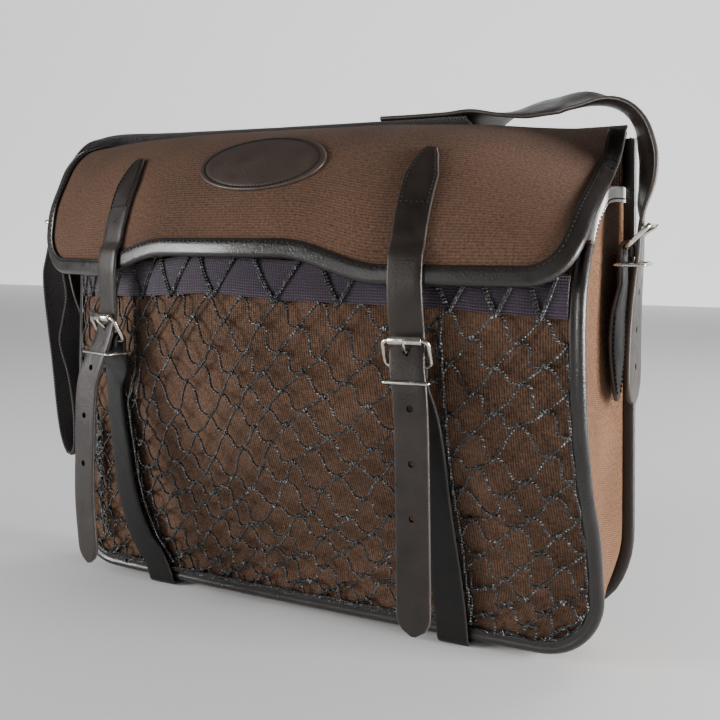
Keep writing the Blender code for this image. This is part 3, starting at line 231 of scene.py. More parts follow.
class Finish:
    """A material, its shader, and the nodes that feed it."""

    def __init__(self, name, color, roughness, settings=()):
        self.material = bpy.data.materials.new(name)
        self.material.use_nodes = True
        self.material.diffuse_color = (*color, 1.0)
        self.tree = self.material.node_tree
        self.shader = self.tree.nodes["Principled BSDF"]
        uniform = {"Base Color": (*color, 1.0), "Roughness": roughness, **dict(settings)}
        for socket, value in uniform.items():
            self.shader.inputs[socket].default_value = value

    def node(self, kind, settings=None, sockets=(), out=0):
        """Add a node: its own settings first, then values or links for its sockets."""
        made = self.tree.nodes.new(kind)
        for setting, value in (settings or {}).items():
            setattr(made, setting, value)
        pairs = sockets.items() if isinstance(sockets, dict) else enumerate(sockets)
        for key, value in pairs:
            if isinstance(value, Socket):
                self.tree.links.new(value.output, made.inputs[key])
            else:
                made.inputs[key].default_value = value
        return Socket(self, made.outputs[out])

    def surface(self):
        """The piece's own UV map in metres, as u and v."""
        place = self.node("ShaderNodeUVMap", {"uv_map": "UVMap"})
        parts = self.node("ShaderNodeSeparateXYZ", sockets=(place,))
        return parts, Socket(self, parts.output.node.outputs[1])

    def noise(self, u, v, detail=2.0):
        place = self.node("ShaderNodeCombineXYZ", sockets=(u, v, 0.0))
        return self.node("ShaderNodeTexNoise", sockets={"Vector": place, "Scale": 1.0, "Detail": detail})

    def grain(self, scale, detail):
        """Noise through the solid, in object coordinates."""
        place = self.node("ShaderNodeTexCoord", out=3)
        return self.node("ShaderNodeTexNoise", sockets={"Vector": place, "Scale": scale, "Detail": detail})

    def mark(self, name):
        return self.node("ShaderNodeAttribute", {"attribute_name": name}, out=2)

    def mix(self, factor, first, second):
        return self.node("ShaderNodeMix", {"data_type": "RGBA", "clamp_factor": True},
                         {0: factor, 6: (*first, 1.0) if isinstance(first, tuple) else first,
                          7: (*second, 1.0) if isinstance(second, tuple) else second}, out=2)

    def feed(self, socket, value):
        self.tree.links.new(value.output, self.shader.inputs[socket])

    def bump(self, height, distance, strength):
        self.feed("Normal", self.node("ShaderNodeBump", sockets={"Strength": strength, "Distance": distance,
                                                                   "Height": height}))


def woven(name, dark, light, rib, cross, diagonal=0.0):
    """Cotton cloth: ribs across u every rib metres, crossed along v, with uneven yarns and slight wear. The
    colour is darker in the grooves of the weave, which paints their shade.
    """
    middle = tuple((a + b) / 2 for a, b in zip(dark, light))
    made = Finish(name, middle, 0.88, {"Sheen Weight": 0.04, "Sheen Roughness": 0.5,
                                       "Specular IOR Level": 0.12})
    u, v = made.surface()
    turn = 2 * math.pi
    ribs = (u * (turn / rib) + v * (diagonal * turn / rib)).sine()
    crossing = (v * (turn / cross)).sine()
    yarn = made.noise(u * (0.8 / rib), v * (0.6 / rib), 3.0)
    slub = made.noise(u * 420.0, v * 900.0, 2.0)
    worn = made.grain(14.0, 4.0)
    weave_relief_and_groove_shade = ribs * 0.42 + crossing * 0.30 + (yarn - 0.5) * 2.2 + (slub - 0.5) * 1.0
    # The colour follows the weave's height: the yarns' own uneven tone, plus painted shade in the grooves.
    made.feed("Base Color", made.mix((weave_relief_and_groove_shade * 0.50 + (worn - 0.5) * 0.7 + 0.42).clamped(), dark, light))
    made.bump(weave_relief_and_groove_shade, 0.00030, 0.9)
    return made


body_cloth = woven("ribbed cotton cloth", (0.036, 0.020, 0.013), (0.215, 0.122, 0.078), 0.0015, 0.0011)


def panel_top(x):
    across = x / HALF_WIDTH
    edge = PANEL_TOP_LEFT if across < 0 else PANEL_TOP_RIGHT
    return PANEL_TOP_MIDDLE + (edge - PANEL_TOP_MIDDLE) * across ** 4


PIPING_CLEAR = 0.0003
panel_limit = PIPING_HALF_WIDTH - PIPING_RADIUS - PIPING_CLEAR
panel_bottom = PIPING_BOTTOM + PIPING_RADIUS + PIPING_CLEAR
panel_columns, panel_rows = 96, 72
panel_turn = math.radians(84)
panel_rings = []
for row in range(panel_rows + 1):
    part = (row / panel_rows) ** 1.15
    level = panel_bottom + (PANEL_TOP_MIDDLE - panel_bottom) * part
    half = edge_limit(level, panel_limit, panel_bottom, CORNER_RADIUS - (HALF_WIDTH - panel_limit))
    outer, inner = [], []
    for column in range(panel_columns + 1):
        x = half * math.sin(panel_turn * (2 * column / panel_columns - 1)) / math.sin(panel_turn)
        z = panel_bottom + (panel_top(x) - panel_bottom) * part
        inside = smoothstep((half - abs(x)) / 0.02) * smoothstep(part * 12)
        sink = (0.0013 + 0.0013 * ripple(x * 2.2, z * 0.6, 0.045, 3.1)) * inside
        outer.append(at(x, front_depth(x, z) - sink, z))
        inner.append(at(x, front_depth(x, z) - sink - CLOTH * 0.9, z))
    panel_rings.append(outer + inner[::-1])
front_panel = loft("front_panel_cloth", panel_rings, body_cloth)
dress(front_panel, "cloth", "front_panel")

# Back panel.
# The flat wall that lies against the wearer, cut from the same cloth with round bottom corners.
BACK_THICKNESS = 0.003
BACK_TOP = 0.3160
back_columns, back_rows, back_low = 60, 48, 0.0006
back_rings = []
for row in range(back_rows + 1):
    z = back_low + (BACK_TOP - back_low) * row / back_rows
    half = edge_limit(z, HALF_WIDTH - GAP, 0.0004, BACK_CORNER_RADIUS)
    half -= 0.012 * max(0.0, (z - 0.312) / 0.004)
    outer, inner = [], []
    for column in range(back_columns + 1):
        x = half * (2 * column / back_columns - 1)
        dip = 0.0005 * (1 + ripple(x, z, 0.06, 8.0))
        outer.append(at(x, dip, z))
        inner.append(at(x, BACK_THICKNESS - 0.0002, z))
    back_rings.append(outer + inner[::-1])
back_panel = loft("back_panel_cloth", back_rings, body_cloth)
dress(back_panel, "cloth", "back_panel")

# Gusset.
# One long strip of warmer cloth round the right side, the bottom and the left side. It joins the
# front to the back, dishes in a little at the sides and is pressed up where the chapes pass under it.
GUSSET_TOP_BACK = 0.280
GUSSET_DISH = 0.0028
GUSSET_RISE = 0.0040
GUSSET_TOP_ROWS = (
    # part of the way to the front, right height, left height
    (0.0, GUSSET_TOP_BACK, GUSSET_TOP_BACK),
    (0.35, 0.2790, 0.2800),
    (0.60, 0.2735, 0.2795),
    (0.80, 0.2610, 0.2780),
    (1.0, PANEL_TOP_RIGHT, PANEL_TOP_LEFT),
)
CHAPE_BASE = {"left": -0.1145, "right": 0.1125}
RECESS_FLAT, RECESS_END, RECESS_DEPTH = 0.0135, 0.0172, 0.0034


SIDE_STEPS, CORNER_STEPS, BASE_STEPS = 40, 14, 48


def outline(half_width, bottom, radius, top_right, top_left):
    """Seam path from the right top, round the bottom, to the left top: x, z and the way out."""
    inner = half_width - radius
    points = []
    for step in range(SIDE_STEPS):
        points.append((half_width, top_right + (bottom + radius - top_right) * step / SIDE_STEPS, 1.0, 0.0))
    for step in range(CORNER_STEPS):
        angle = math.radians(90 * step / CORNER_STEPS)
        points.append((inner + radius * math.cos(angle), bottom + radius - radius * math.sin(angle),
                       math.cos(angle), -math.sin(angle)))
    for step in range(BASE_STEPS):
        points.append((inner - 2 * inner * step / BASE_STEPS, bottom, 0.0, -1.0))
    for step in range(CORNER_STEPS):
        angle = math.radians(90 * step / CORNER_STEPS)
        points.append((-inner - radius * math.sin(angle), bottom + radius - radius * math.cos(angle),
                       -math.sin(angle), -math.cos(angle)))
    for step in range(SIDE_STEPS + 1):
        z = bottom + radius + (top_left - bottom - radius) * step / SIDE_STEPS
        points.append((-half_width, z, -1.0, 0.0))
    return points


front_seam = outline(HALF_WIDTH, 0.0, CORNER_RADIUS, PANEL_TOP_RIGHT, PANEL_TOP_LEFT)
back_seam = outline(HALF_WIDTH, 0.0, BACK_CORNER_RADIUS, GUSSET_TOP_BACK, GUSSET_TOP_BACK)


def gusset_point(number, part, inset):
    """A point of the gusset: its place along the seam, part of the way to the front, and its inset."""
    front, back = front_seam[number], back_seam[number]
    reach = front_depth(front[0], max(front[1], PIPING_BOTTOM)) - PIPING_RADIUS - PIPING_CLEAR
    start = BACK_THICKNESS + GAP
    depth = start + (reach - start) * part
    x, z, out_x, out_z = (b + (f - b) * part for b, f in zip(back, front))
    bulge = math.sin(math.pi * part)
    if abs(out_x) > 0.999:
        column = 1 if x > 0 else 2
        bottom = BACK_CORNER_RADIUS + (CORNER_RADIUS - BACK_CORNER_RADIUS) * part
        straight = GUSSET_TOP_BACK + (GUSSET_TOP_ROWS[-1][column] - GUSSET_TOP_BACK) * part
        risen = (z - bottom) / (straight - bottom)
        z = bottom + (interpolate(GUSSET_TOP_ROWS, part, column) - bottom) * risen
        inset += GUSSET_DISH * bulge * math.sin(math.pi * risen) ** 2
    inset += 0.0016 * bulge * (1 + ripple(depth * 1.5, z * 0.6, 0.035, 1.0 + x)) * abs(out_x)
    lift = max(-out_z, 0.0) * GUSSET_RISE * smoothstep((part - 0.78) / 0.22)
    if abs(out_x) < 0.2:
        near = min(abs(x - centre) for centre in CHAPE_BASE.values())
        lift = max(lift, RECESS_DEPTH * smoothstep((RECESS_END - near) / (RECESS_END - RECESS_FLAT)))
    return at(x - out_x * inset, depth, z - out_z * inset + lift)


GUSSET_STEPS = 16
gusset_rings = []
for number in range(len(front_seam)):
    outer = [gusset_point(number, step / GUSSET_STEPS, 0.0) for step in range(GUSSET_STEPS + 1)]
    inner = [gusset_point(number, step / GUSSET_STEPS, CLOTH) for step in range(GUSSET_STEPS + 1)]
    gusset_rings.append(outer + inner[::-1])
side_cloth = woven("warm side cloth", (0.062, 0.028, 0.014), (0.270, 0.140, 0.078), 0.0012, 0.0012, 1.0)
gusset = loft("gusset_cloth", gusset_rings, side_cloth)
dress(gusset, "cloth", "gusset")

# Hems of the gusset.
# A strip of smooth leather is folded over each open top of the gusset and sewn through. Its near-white colour
# is painted glare of the strong side light on the leather. Only the right one shows in the photo.


def leather(name, color, worn, roughness, grain=850.0, gloss=0.5, coat=0.15):
    """Waxed cowhide: fine pores, faint creases, uneven polish, and a paler cut edge where marked."""
    made = Finish(name, color, roughness, {"Specular IOR Level": gloss, "Coat Weight": coat,
                                           "Coat Roughness": 0.16})
    pores = made.grain(grain, 3.0)
    creases = made.grain(95.0, 5.0)
    blotches = made.grain(22.0, 3.0)
    shade = made.mix(((blotches - 0.5) * 1.6 + (creases - 0.5) * 0.9 + 0.5).clamped(), color, worn)
    pale = tuple(min(1.0, 0.03 + 1.6 * value) for value in worn)
    made.feed("Base Color", made.mix((made.mark("edge") * 0.6).clamped(), shade, pale))
    made.feed("Roughness", ((creases - 0.5) * 0.35 + (blotches - 0.5) * 0.3 + roughness).clamped())
    made.bump(pores * 0.8 + creases * 0.7, 0.00045, 0.7)
    return made


trim_leather = leather("waxed trim leather", (0.006, 0.0045, 0.004), (0.016, 0.012, 0.010), 0.33, coat=0.2)
# Near-white base colour: painted glare of the side light on the hem, not the leather's own colour.
hem_leather_painted_glare = leather("hem leather painted with glare", (0.60, 0.59, 0.56), (0.82, 0.81, 0.78), 0.35)
HEM_LEG, HEM_WALL, HEM_SPARE, HEM_OVER = 0.0085, 0.0018, 0.0008, 0.0014
THREAD_RISE = 0.0001


def hem_fold(half_width, over):
    """One face of a hem in section: up one side of the cloth, over its edge and down the other."""
    bend = [(polar(half_width, angle)[0], -polar(over, angle)[1]) for angle in range(0, 181, 20)]
    return [(half_width, HEM_LEG), *bend, (-half_width, HEM_LEG)]


hem_runs = {}
for side, number, below, way in (("right", 0, 1, 1), ("left", len(front_seam) - 1, len(front_seam) - 2, -1)):
    rings, run = [], []
    for step in range(33):
        part = 0.02 + 0.96 * step / 32
        rim, low = gusset_point(number, part, 0.0), gusset_point(below, part, 0.0)
        down = (low - rim).normalized()
        out = Vector((way, 0, 0))
        centre = rim - out * CLOTH / 2
        wall, skin = CLOTH / 2 + HEM_SPARE, CLOTH / 2 + HEM_WALL
        outer, inner = hem_fold(skin, HEM_OVER), hem_fold(wall, GAP)
        rings.append([centre + out * a + down * b for a, b in outer + inner[::-1]])
        run.append(centre + out * (skin + THREAD_RISE) + down * (HEM_LEG - 0.0022))
    hem_runs[side] = run
    hem = loft(f"gusset_hem_{side}_leather", rings, hem_leather_painted_glare)
    dress(hem, "leather", f"gusset_hem_{side}")

# Front piping.
# A cord covered in thin leather, caught in the seam between the front panel and the gusset. Its narrow
# flange lies on the front panel.
FLANGE_WIDTH, FLANGE_THICKNESS, FLANGE_LIFT = 0.0055, 0.0012, 0.0011
flange_top = FLANGE_LIFT + FLANGE_THICKNESS
# Section of the piping: the way out from the seam and the depth forward of the panel
round_tube = [polar(PIPING_RADIUS, angle) for angle in range(-110, 126, 18)]
flange = [(-0.0030, flange_top - 0.0005), (-0.0041, flange_top - 0.0001),
          (-FLANGE_WIDTH + 0.0004, flange_top), (-FLANGE_WIDTH, flange_top - 0.0004),
          (-FLANGE_WIDTH, FLANGE_LIFT), (-0.0040, FLANGE_LIFT), (-0.0029, FLANGE_LIFT),
          (-0.0026, FLANGE_LIFT - 0.0006)]
piping_rings = []
for x, z, out_x, out_z in outline(PIPING_HALF_WIDTH, PIPING_BOTTOM,
                                  CORNER_RADIUS - (HALF_WIDTH - PIPING_HALF_WIDTH), PANEL_TOP_RIGHT,
                                  PANEL_TOP_LEFT):
    places = [(x + out_x * out, z + out_z * out, forward) for out, forward in round_tube + flange]
    piping_rings.append([at(px, front_depth(px, pz) + forward, pz) for px, pz, forward in places])
front_piping = loft("front_piping_leather", piping_rings, trim_leather, sharp_degrees=65)
dress(front_piping, "leather", "front_piping")

# Back binding.
# Leather bound round the back seam. It stands out at the sides, where it shows from the front and laps
# onto the gusset, and it is folded behind the back along the bottom.
BACK_BINDING_HALF_WIDTH, BACK_BINDING_HALF_THICKNESS = 0.0034, 0.0021
binding_rings, binding_run = [], []
for x, z, out_x, out_z in outline(HALF_WIDTH, 0.0, BACK_CORNER_RADIUS, BACK_TOP - 0.005, BACK_TOP - 0.005):
    down = max(-out_z, 0.0)
    behind, tucked = smoothstep(down * 2), smoothstep(down * 2 - 1)
    out = (BACK_BINDING_HALF_WIDTH + GAP) * (1 - tucked) - (BACK_BINDING_HALF_WIDTH + 0.0002) * tucked
    depth = 0.0014 * (1 - behind) - (BACK_BINDING_HALF_THICKNESS + GAP) * behind
    ring = []
    for step in range(16):
        angle = math.radians(360 * (step + 0.5) / 16)
        wide = math.copysign(abs(math.cos(angle)) ** 0.7, math.cos(angle))
        thick = math.copysign(abs(math.sin(angle)) ** 0.6, math.sin(angle))
        reach = out + BACK_BINDING_HALF_WIDTH * wide
        if wide < 0:
            reach += 0.0016 * wide * (1 - tucked)
        ring.append(at(x + out_x * reach, depth + BACK_BINDING_HALF_THICKNESS * thick, z + out_z * reach))
    binding_rings.append(ring)
    sewn, behind = out - 0.0006, depth - BACK_BINDING_HALF_THICKNESS - THREAD_RISE
    binding_run.append(at(x + out_x * sewn, behind, z + out_z * sewn))
back_binding = loft("back_binding_leather", binding_rings, trim_leather, sharp_degrees=65)
dress(back_binding, "leather", "back_binding")

# Flap.
# A domed lid of brown twill, sewn to the top of the back and falling over the front. Its sides come
# down over the gusset, and its lower edge arches up between the straps.
FLAP_ROWS = (
    # row, then depth and height of the left edge, the middle and the right edge
    (0.0, -0.0015, 0.3175, -0.0015, 0.3175, -0.0015, 0.3190),
    (1.0, 0.0135, 0.3175, 0.0140, 0.3218, 0.0085, 0.3115),
    (2.0, 0.0390, 0.3125, 0.0400, 0.3226, 0.0230, 0.2965),
    (3.0, 0.0540, 0.3005, 0.0680, 0.3165, 0.0420, 0.2845),
    (4.0, 0.0625, 0.2855, 0.0920, 0.3025, 0.0600, 0.2745),
    (5.0, 0.0705, 0.2690, 0.1085, 0.2840, 0.0770, 0.2650),
    (6.0, 0.0735, 0.2530, 0.1195, 0.2645, 0.0920, 0.2550),
    (7.0, 0.0745, 0.2370, 0.1275, 0.2435, 0.1030, 0.2430),
    (8.0, 0.0745, 0.2190, 0.1315, 0.2200, 0.1100, 0.2200),
)
FLAP_HALF_WIDTH, FLAP_CORNER, FLAP_EDGE_HEIGHT, FLAP_ARCH = 0.2038, 0.029, 0.2250, 0.0145
FLAP_HALF_CLOTH = 0.0009
FLAP_BINDING_INNER, FLAP_BINDING_OUTER, FLAP_BINDING_WIDTH = 0.0020, 0.0031, 0.010


def flap_point(x, along):
    """Middle of the flap's cloth, along counting the rows of its table from the back seam."""
    across = x / FLAP_HALF_WIDTH
    side = 1 if across < 0 else 5
    power = LEFT_POWER if across < 0 else RIGHT_POWER
    side_depth, side_height = interpolate(FLAP_ROWS, along, side), interpolate(FLAP_ROWS, along, side + 1)
    depth, height = interpolate(FLAP_ROWS, along, 3), interpolate(FLAP_ROWS, along, 4)
    depth += (side_depth - depth) * abs(across) ** power
    height += (side_height - height) * abs(across) ** HEIGHT_POWER
    return at(x, depth, height)


def flap_normal(x, along):
    down = flap_point(x, min(along + 0.05, 8.0)) - flap_point(x, max(along - 0.05, 0.0))
    right = flap_point(x + 0.001, along) - flap_point(x - 0.001, along)
    return down.cross(right).normalized()


def flap_edge_height(x):
    arch = smoothstep((x + 0.128) / 0.070) * smoothstep((0.094 - x) / 0.065)
    height = FLAP_EDGE_HEIGHT + FLAP_ARCH * arch
    past = abs(x) - (FLAP_HALF_WIDTH - FLAP_CORNER)
    if past > 0:
        height += FLAP_CORNER - math.sqrt(max(FLAP_CORNER ** 2 - past ** 2, 0.0))
    return height


def flap_along_at(x, height, low=2.0):
    """Where along the flap its front reaches a height at x, by halving."""
    high = 8.0
    for _ in range(32):
        middle = (low + high) / 2
        if flap_point(x, middle).z > height:
            low = middle
        else:
            high = middle
    return (low + high) / 2


flap_straight = FLAP_HALF_WIDTH - FLAP_CORNER
flap_corner = [flap_straight + FLAP_CORNER * math.sin(math.radians(9 * step)) for step in range(1, 11)]
flap_columns = [-x for x in reversed(flap_corner)]
flap_columns += [-flap_straight + 2 * flap_straight * step / 64 for step in range(65)] + flap_corner
flap_ends = {x: flap_along_at(x, flap_edge_height(x), 4.0) for x in flap_columns}
FLAP_STEPS = 56
flap_cloth = woven("brown cotton twill", (0.046, 0.025, 0.016), (0.200, 0.112, 0.073), 0.0012, 0.0016, 0.9)
flap_rings = []
for step in range(FLAP_STEPS + 1):
    outer, inner = [], []
    for x in flap_columns:
        along = flap_ends[x] * step / FLAP_STEPS
        middle, normal = flap_point(x, along), flap_normal(x, along)
        clear = smoothstep((FLAP_HALF_WIDTH - abs(x)) / 0.03) * smoothstep((FLAP_STEPS - step) / 12)
        middle += normal * 0.0006 * ripple(x, middle.z - middle.y, 0.05, 5.0) * clear * smoothstep(step / 8)
        outer.append(middle + normal * FLAP_HALF_CLOTH)
        inner.append(middle - normal * FLAP_HALF_CLOTH)
    flap_rings.append(outer + inner[::-1])
flap = loft("flap_cloth", flap_rings, flap_cloth)
dress(flap, "cloth", "flap")

# Binding of the flap.
# One strip of leather folded over the flap's free edge, thick and rounded, with a line of saddle
# stitches along its inner side.
edge_places = [(flap_columns[0], flap_ends[flap_columns[0]] * step / 40) for step in range(5, 40)]
edge_places += [(x, flap_ends[x]) for x in flap_columns]
edge_places += [(flap_columns[-1], flap_ends[flap_columns[-1]] * step / 40) for step in range(39, 4, -1)]
edge_points = [flap_point(x, along) for x, along in edge_places]


def binding_fold(leg, radius, centre):
    """One face of the binding in section: down one leg, round the edge and back along the other."""
    bend = [(centre + across, up) for across, up in (polar(radius, angle) for angle in range(90, 271, 20))]
    return leg + bend + [(across, -up) for across, up in reversed(leg)]


outer_fold = binding_fold([(FLAP_BINDING_WIDTH, FLAP_BINDING_OUTER - 0.0007),
                           (FLAP_BINDING_WIDTH - 0.0006, FLAP_BINDING_OUTER - 0.0001),
                           (0.0055, FLAP_BINDING_OUTER)], FLAP_BINDING_OUTER, 0.0017)
inner_fold = binding_fold([(across, FLAP_BINDING_INNER) for across in (FLAP_BINDING_WIDTH, 0.0085, 0.0055)],
                          FLAP_BINDING_INNER, 0.0016)
binding_rings, flap_run = [], []
for index, (x, along) in enumerate(edge_places):
    normal = flap_normal(x, along)
    after, before = edge_points[min(index + 1, len(edge_points) - 1)], edge_points[max(index - 1, 0)]
    inward = normal.cross((after - before).normalized()).normalized()
    binding_rings.append([edge_points[index] + inward * a + normal * b
                          for a, b in outer_fold + inner_fold[::-1]])
    flap_run.append(edge_points[index] + inward * (FLAP_BINDING_WIDTH - 0.0021)
                    + normal * (FLAP_BINDING_OUTER + THREAD_RISE))
flap_binding = loft("flap_binding_leather", binding_rings, trim_leather, sharp_degrees=65)
dress(flap_binding, "leather", "flap_binding")

# Badge.
# An oval leather patch, slightly domed, sewn on the flap. Its face is left bare.
badge_leather = leather("embossed badge leather", (0.030, 0.019, 0.014), (0.052, 0.034, 0.025), 0.46, 520.0)
BADGE_HALF_WIDE, BADGE_HALF_HIGH, BADGE_X = 0.0455, 0.0200, -0.001
badge_middle = flap_point(BADGE_X, 4.42)
# Rings of the badge from its middle out, over the sewn groove and back underneath: reach and rise
badge_levels = ((0.02, 0.0019), (0.30, 0.0019), (0.60, 0.00185), (0.80, 0.0018), (0.88, 0.0016),
                (0.905, 0.00125), (0.93, 0.0016), (0.975, 0.00165), (1.0, 0.0011), (1.0, 0.0), (0.5, 0.0),
                (0.02, 0.0))
BADGE_THREAD = (0.905, 0.0016)
badge_rings = [[] for _ in badge_levels]
badge_run = []
BADGE_STEPS = 96
for step in range(BADGE_STEPS):
    angle = 2 * math.pi * step / BADGE_STEPS
    for number, (reach, rise) in enumerate((*badge_levels, BADGE_THREAD)):
        x = BADGE_X + BADGE_HALF_WIDE * reach * math.cos(angle)
        z = badge_middle.z + BADGE_HALF_HIGH * 0.86 * reach * math.sin(angle)
        along = flap_along_at(x, z)
        place = flap_point(x, along) + flap_normal(x, along) * (FLAP_HALF_CLOTH + GAP + rise)
        (badge_run if number == len(badge_levels) else badge_rings[number]).append(place)
badge = loft("badge_leather", badge_rings, badge_leather, sharp_degrees=70)
dress(badge, "leather", "badge")

# Closing straps.
# Each strap is bridle leather, sewn on the flap with a tapered tongue. It runs over the flap's edge,
# down through the buckle and ends in a round tip, with three punched holes.
STRAP_WIDTH, STRAP_THICKNESS, HOLE_RADIUS, PUNCH_LENGTH = 0.0205, 0.0027, 0.002, 0.012
STRAP_TOP = 0.3010
BILLET_ROWS = {
    "right": (
        # x, depth, height, turn
        (0.1112, 0.1262, 0.2130, 9),
        (0.1109, 0.1224, 0.1935, 9),
        (0.1121, 0.1254, 0.1780, 8),
        (0.1140, 0.1262, 0.1650, 6),
        (0.1145, 0.1250, 0.1470, 4),
        (0.1139, 0.1220, 0.1100, 4),
        (0.1138, 0.1205, 0.0680, 4),
        (0.1138, 0.1195, 0.0275, 4),
    ),
    "left": (
        (-0.1115, 0.1150, 0.213, -20),
        (-0.1130, 0.1130, 0.1970, -20),
        (-0.1155, 0.1155, 0.1820, -18),
        (-0.1216, 0.1175, 0.1660, -14),
        (-0.1279, 0.1170, 0.1500, -10),
        (-0.1305, 0.1165, 0.1100, -12),
        (-0.1312, 0.1160, 0.0700, -12),
        (-0.1277, 0.1155, 0.0310, -14),
    ),
}
FLAP_STRAP = {"right": ((0.300, 0.1070), (0.224, 0.1105)), "left": ((0.300, -0.1085), (0.224, -0.1090))}
HOLE_HEIGHTS = {"right": (0.1560, 0.1250, 0.0940), "left": (0.1632, 0.1305, 0.0980)}
strap_leather = leather("bridle strap leather", (0.009, 0.0068, 0.0058), (0.030, 0.021, 0.016), 0.36,
                        gloss=0.34, coat=0.08)


def smooth_stations(rows, spacing):
    """Points every spacing or so along a smooth curve through rows whose first three columns are a place."""
    travelled = [0.0]
    for low, high in zip(rows, rows[1:]):
        travelled.append(travelled[-1] + (Vector(high[:3]) - Vector(low[:3])).length)
    keyed = [(run,) + tuple(row) for run, row in zip(travelled, rows)]
    count = max(2, round(travelled[-1] / spacing))
    columns = range(1, len(rows[0]) + 1)
    return [tuple(interpolate(keyed, travelled[-1] * i / count, column) for column in columns)
            for i in range(count + 1)]


def turned(degrees):
    angle = math.radians(degrees)
    return Vector((math.cos(angle), math.sin(angle), 0.0))


def strap_section(width, thickness):
    """Section of a strap with rounded edges, as (across, up) pairs, and how much each is a cut edge."""
    soft = thickness * 0.42
    turns = [math.radians(angle) for angle in (0, 30, 60, 90)]
    corner = [(soft * (1 - math.cos(turn)), soft * (1 - math.sin(turn))) for turn in turns]
    upper = [(inset - width / 2, thickness / 2 - drop) for inset, drop in corner]
    upper += [(-width / 4, thickness / 2), (0.0, thickness / 2), (width / 4, thickness / 2)]
    upper += [(width / 2 - inset, thickness / 2 - drop) for inset, drop in reversed(corner)]
    marks = [1.0, 0.9, 0.35, 0.0, 0.0, 0.0, 0.0, 0.0, 0.35, 0.9, 1.0]
    return upper + [(a, -b) for a, b in reversed(upper)], marks + marks[::-1]


def strap_directions(stations, index):
    """The way across a strap and the way out of its face at a station."""
    before, after = stations[max(index - 1, 0)][0], stations[min(index + 1, len(stations) - 1)][0]
    forward = (after - before).normalized()
    across = stations[index][1]
    across = (across - forward * across.dot(forward)).normalized()
    return across, forward.cross(across)


def strap(name, stations, thickness, finish):
    """Strap through stations of centre, way across and width."""
    rings = []
    for index, (centre, _, width) in enumerate(stations):
        across, out = strap_directions(stations, index)
        section, marks = strap_section(max(width, 0.004), thickness)
        waver = 0.00012 * noise.noise(centre * 90.0)
        rings.append([centre + across * a + out * (b + waver) for a, b in section])
    return loft(name, rings, finish, edge=marks, sharp_degrees=75)


def strap_run(stations, first, last, inset, rise, out_side=1):
    """A line for stitches along a strap, inset from its edge (negative for its other edge)."""
    run = []
    for index in range(first, last + 1):
        centre, _, width = stations[index]
        across, out = strap_directions(stations, index)
        half = max(width / 2 - abs(inset), 0.0)
        run.append(centre + across * math.copysign(half, inset) + out * out_side * rise)
    return run


def rounded_tip(stations, tip_length):
    """Narrow the last stations of a strap to a round end."""
    end, made = stations[-1][0], []
    for centre, across, width in stations:
        left = (centre - end).length
        if left < tip_length:
            width *= max(math.sqrt(max(1 - (1 - left / tip_length) ** 2, 0.0)), 0.12)
        made.append((centre, across, width))
    return made


def billet_stations(side):
    """The strap's course on the flap, then down through the buckle to its tip."""
    (top_z, top_x), (low_z, low_x) = FLAP_STRAP[side]
    lift = FLAP_HALF_CLOTH + GAP + STRAP_THICKNESS / 2
    over_binding = FLAP_BINDING_OUTER + 2 * GAP + STRAP_THICKNESS / 2
    end_along = flap_along_at(low_x, flap_edge_height(low_x), 4.0)
    start_along = flap_along_at(top_x, STRAP_TOP)
    upper, steps = [], 30
    for step in range(steps + 1):
        along = start_along + (end_along - start_along) * step / steps
        height = flap_point(top_x, along).z
        x = low_x + (top_x - low_x) * (height - low_z) / (top_z - low_z)
        point, normal = flap_point(x, along), flap_normal(x, along)
        offset = lift + (over_binding - lift) * smoothstep((0.022 - (height - low_z)) / 0.007)
        across = flap_point(x + 0.004, along) - flap_point(x - 0.004, along)
        taper = min(1.0, 0.48 + 0.52 * (STRAP_TOP - height) / 0.016)
        blunt = smoothstep((STRAP_TOP - height + 0.0016) / 0.006)
        width = STRAP_WIDTH * taper * (0.70 + 0.30 * blunt)
        upper.append((point + normal * offset, across.normalized(), width))
    lower = [(x, BACK_Y - depth, z, *turned(turn)) for x, depth, z, turn in BILLET_ROWS[side]]
    joint = [(*upper[-1][0], *upper[-1][1])]
    hanging = smooth_stations(joint + lower, 0.0032)
    stations = upper[:-1] + [(Vector(row[:3]), Vector(row[3:6]), STRAP_WIDTH) for row in hanging]
    return rounded_tip(stations, 0.012)


def station_at(stations, height):
    for low, high in zip(stations, stations[1:]):
        if low[0].z >= height >= high[0].z:
            part = (low[0].z - height) / (low[0].z - high[0].z)
            return low[0].lerp(high[0], part), low[1].lerp(high[1], part)
    raise ValueError("no strap at that height")


def evaluated_mesh(piece):
    """A plain mesh of a piece with its modifiers."""
    bpy.context.view_layer.update()
    return bpy.data.meshes.new_from_object(piece.evaluated_get(bpy.context.evaluated_depsgraph_get()))


def cut_with(piece, made, place=Vector(), turn=None):
    """Cut a shape out of a strap, and drop the shape."""
    mesh = bpy.data.meshes.new("cutter")
    made.to_mesh(mesh)
    made.free()
    tool = placed("cutter", mesh)
    tool.location = place
    if turn:
        tool.rotation_euler = turn
    cut = piece.modifiers.new("cut", "BOOLEAN")
    cut.operation, cut.solver, cut.object = "DIFFERENCE", "EXACT", tool
    plain = evaluated_mesh(piece)
    piece.modifiers.clear()
    piece.data = plain
    bpy.data.objects.remove(tool, do_unlink=True)
    piece.data.set_sharp_from_angle(angle=math.radians(60))


def punch(piece, places, outs, radius):
    """Cut round holes right through a strap."""
    for place, out in zip(places, outs):
        made = bmesh.new()
        bmesh.ops.create_cone(made, cap_ends=True, segments=20, radius1=radius, radius2=radius,
                              depth=PUNCH_LENGTH)
        cut_with(piece, made, place, out.to_track_quat("Z", "Y").to_euler())


billets = {side: billet_stations(side) for side in ("left", "right")}

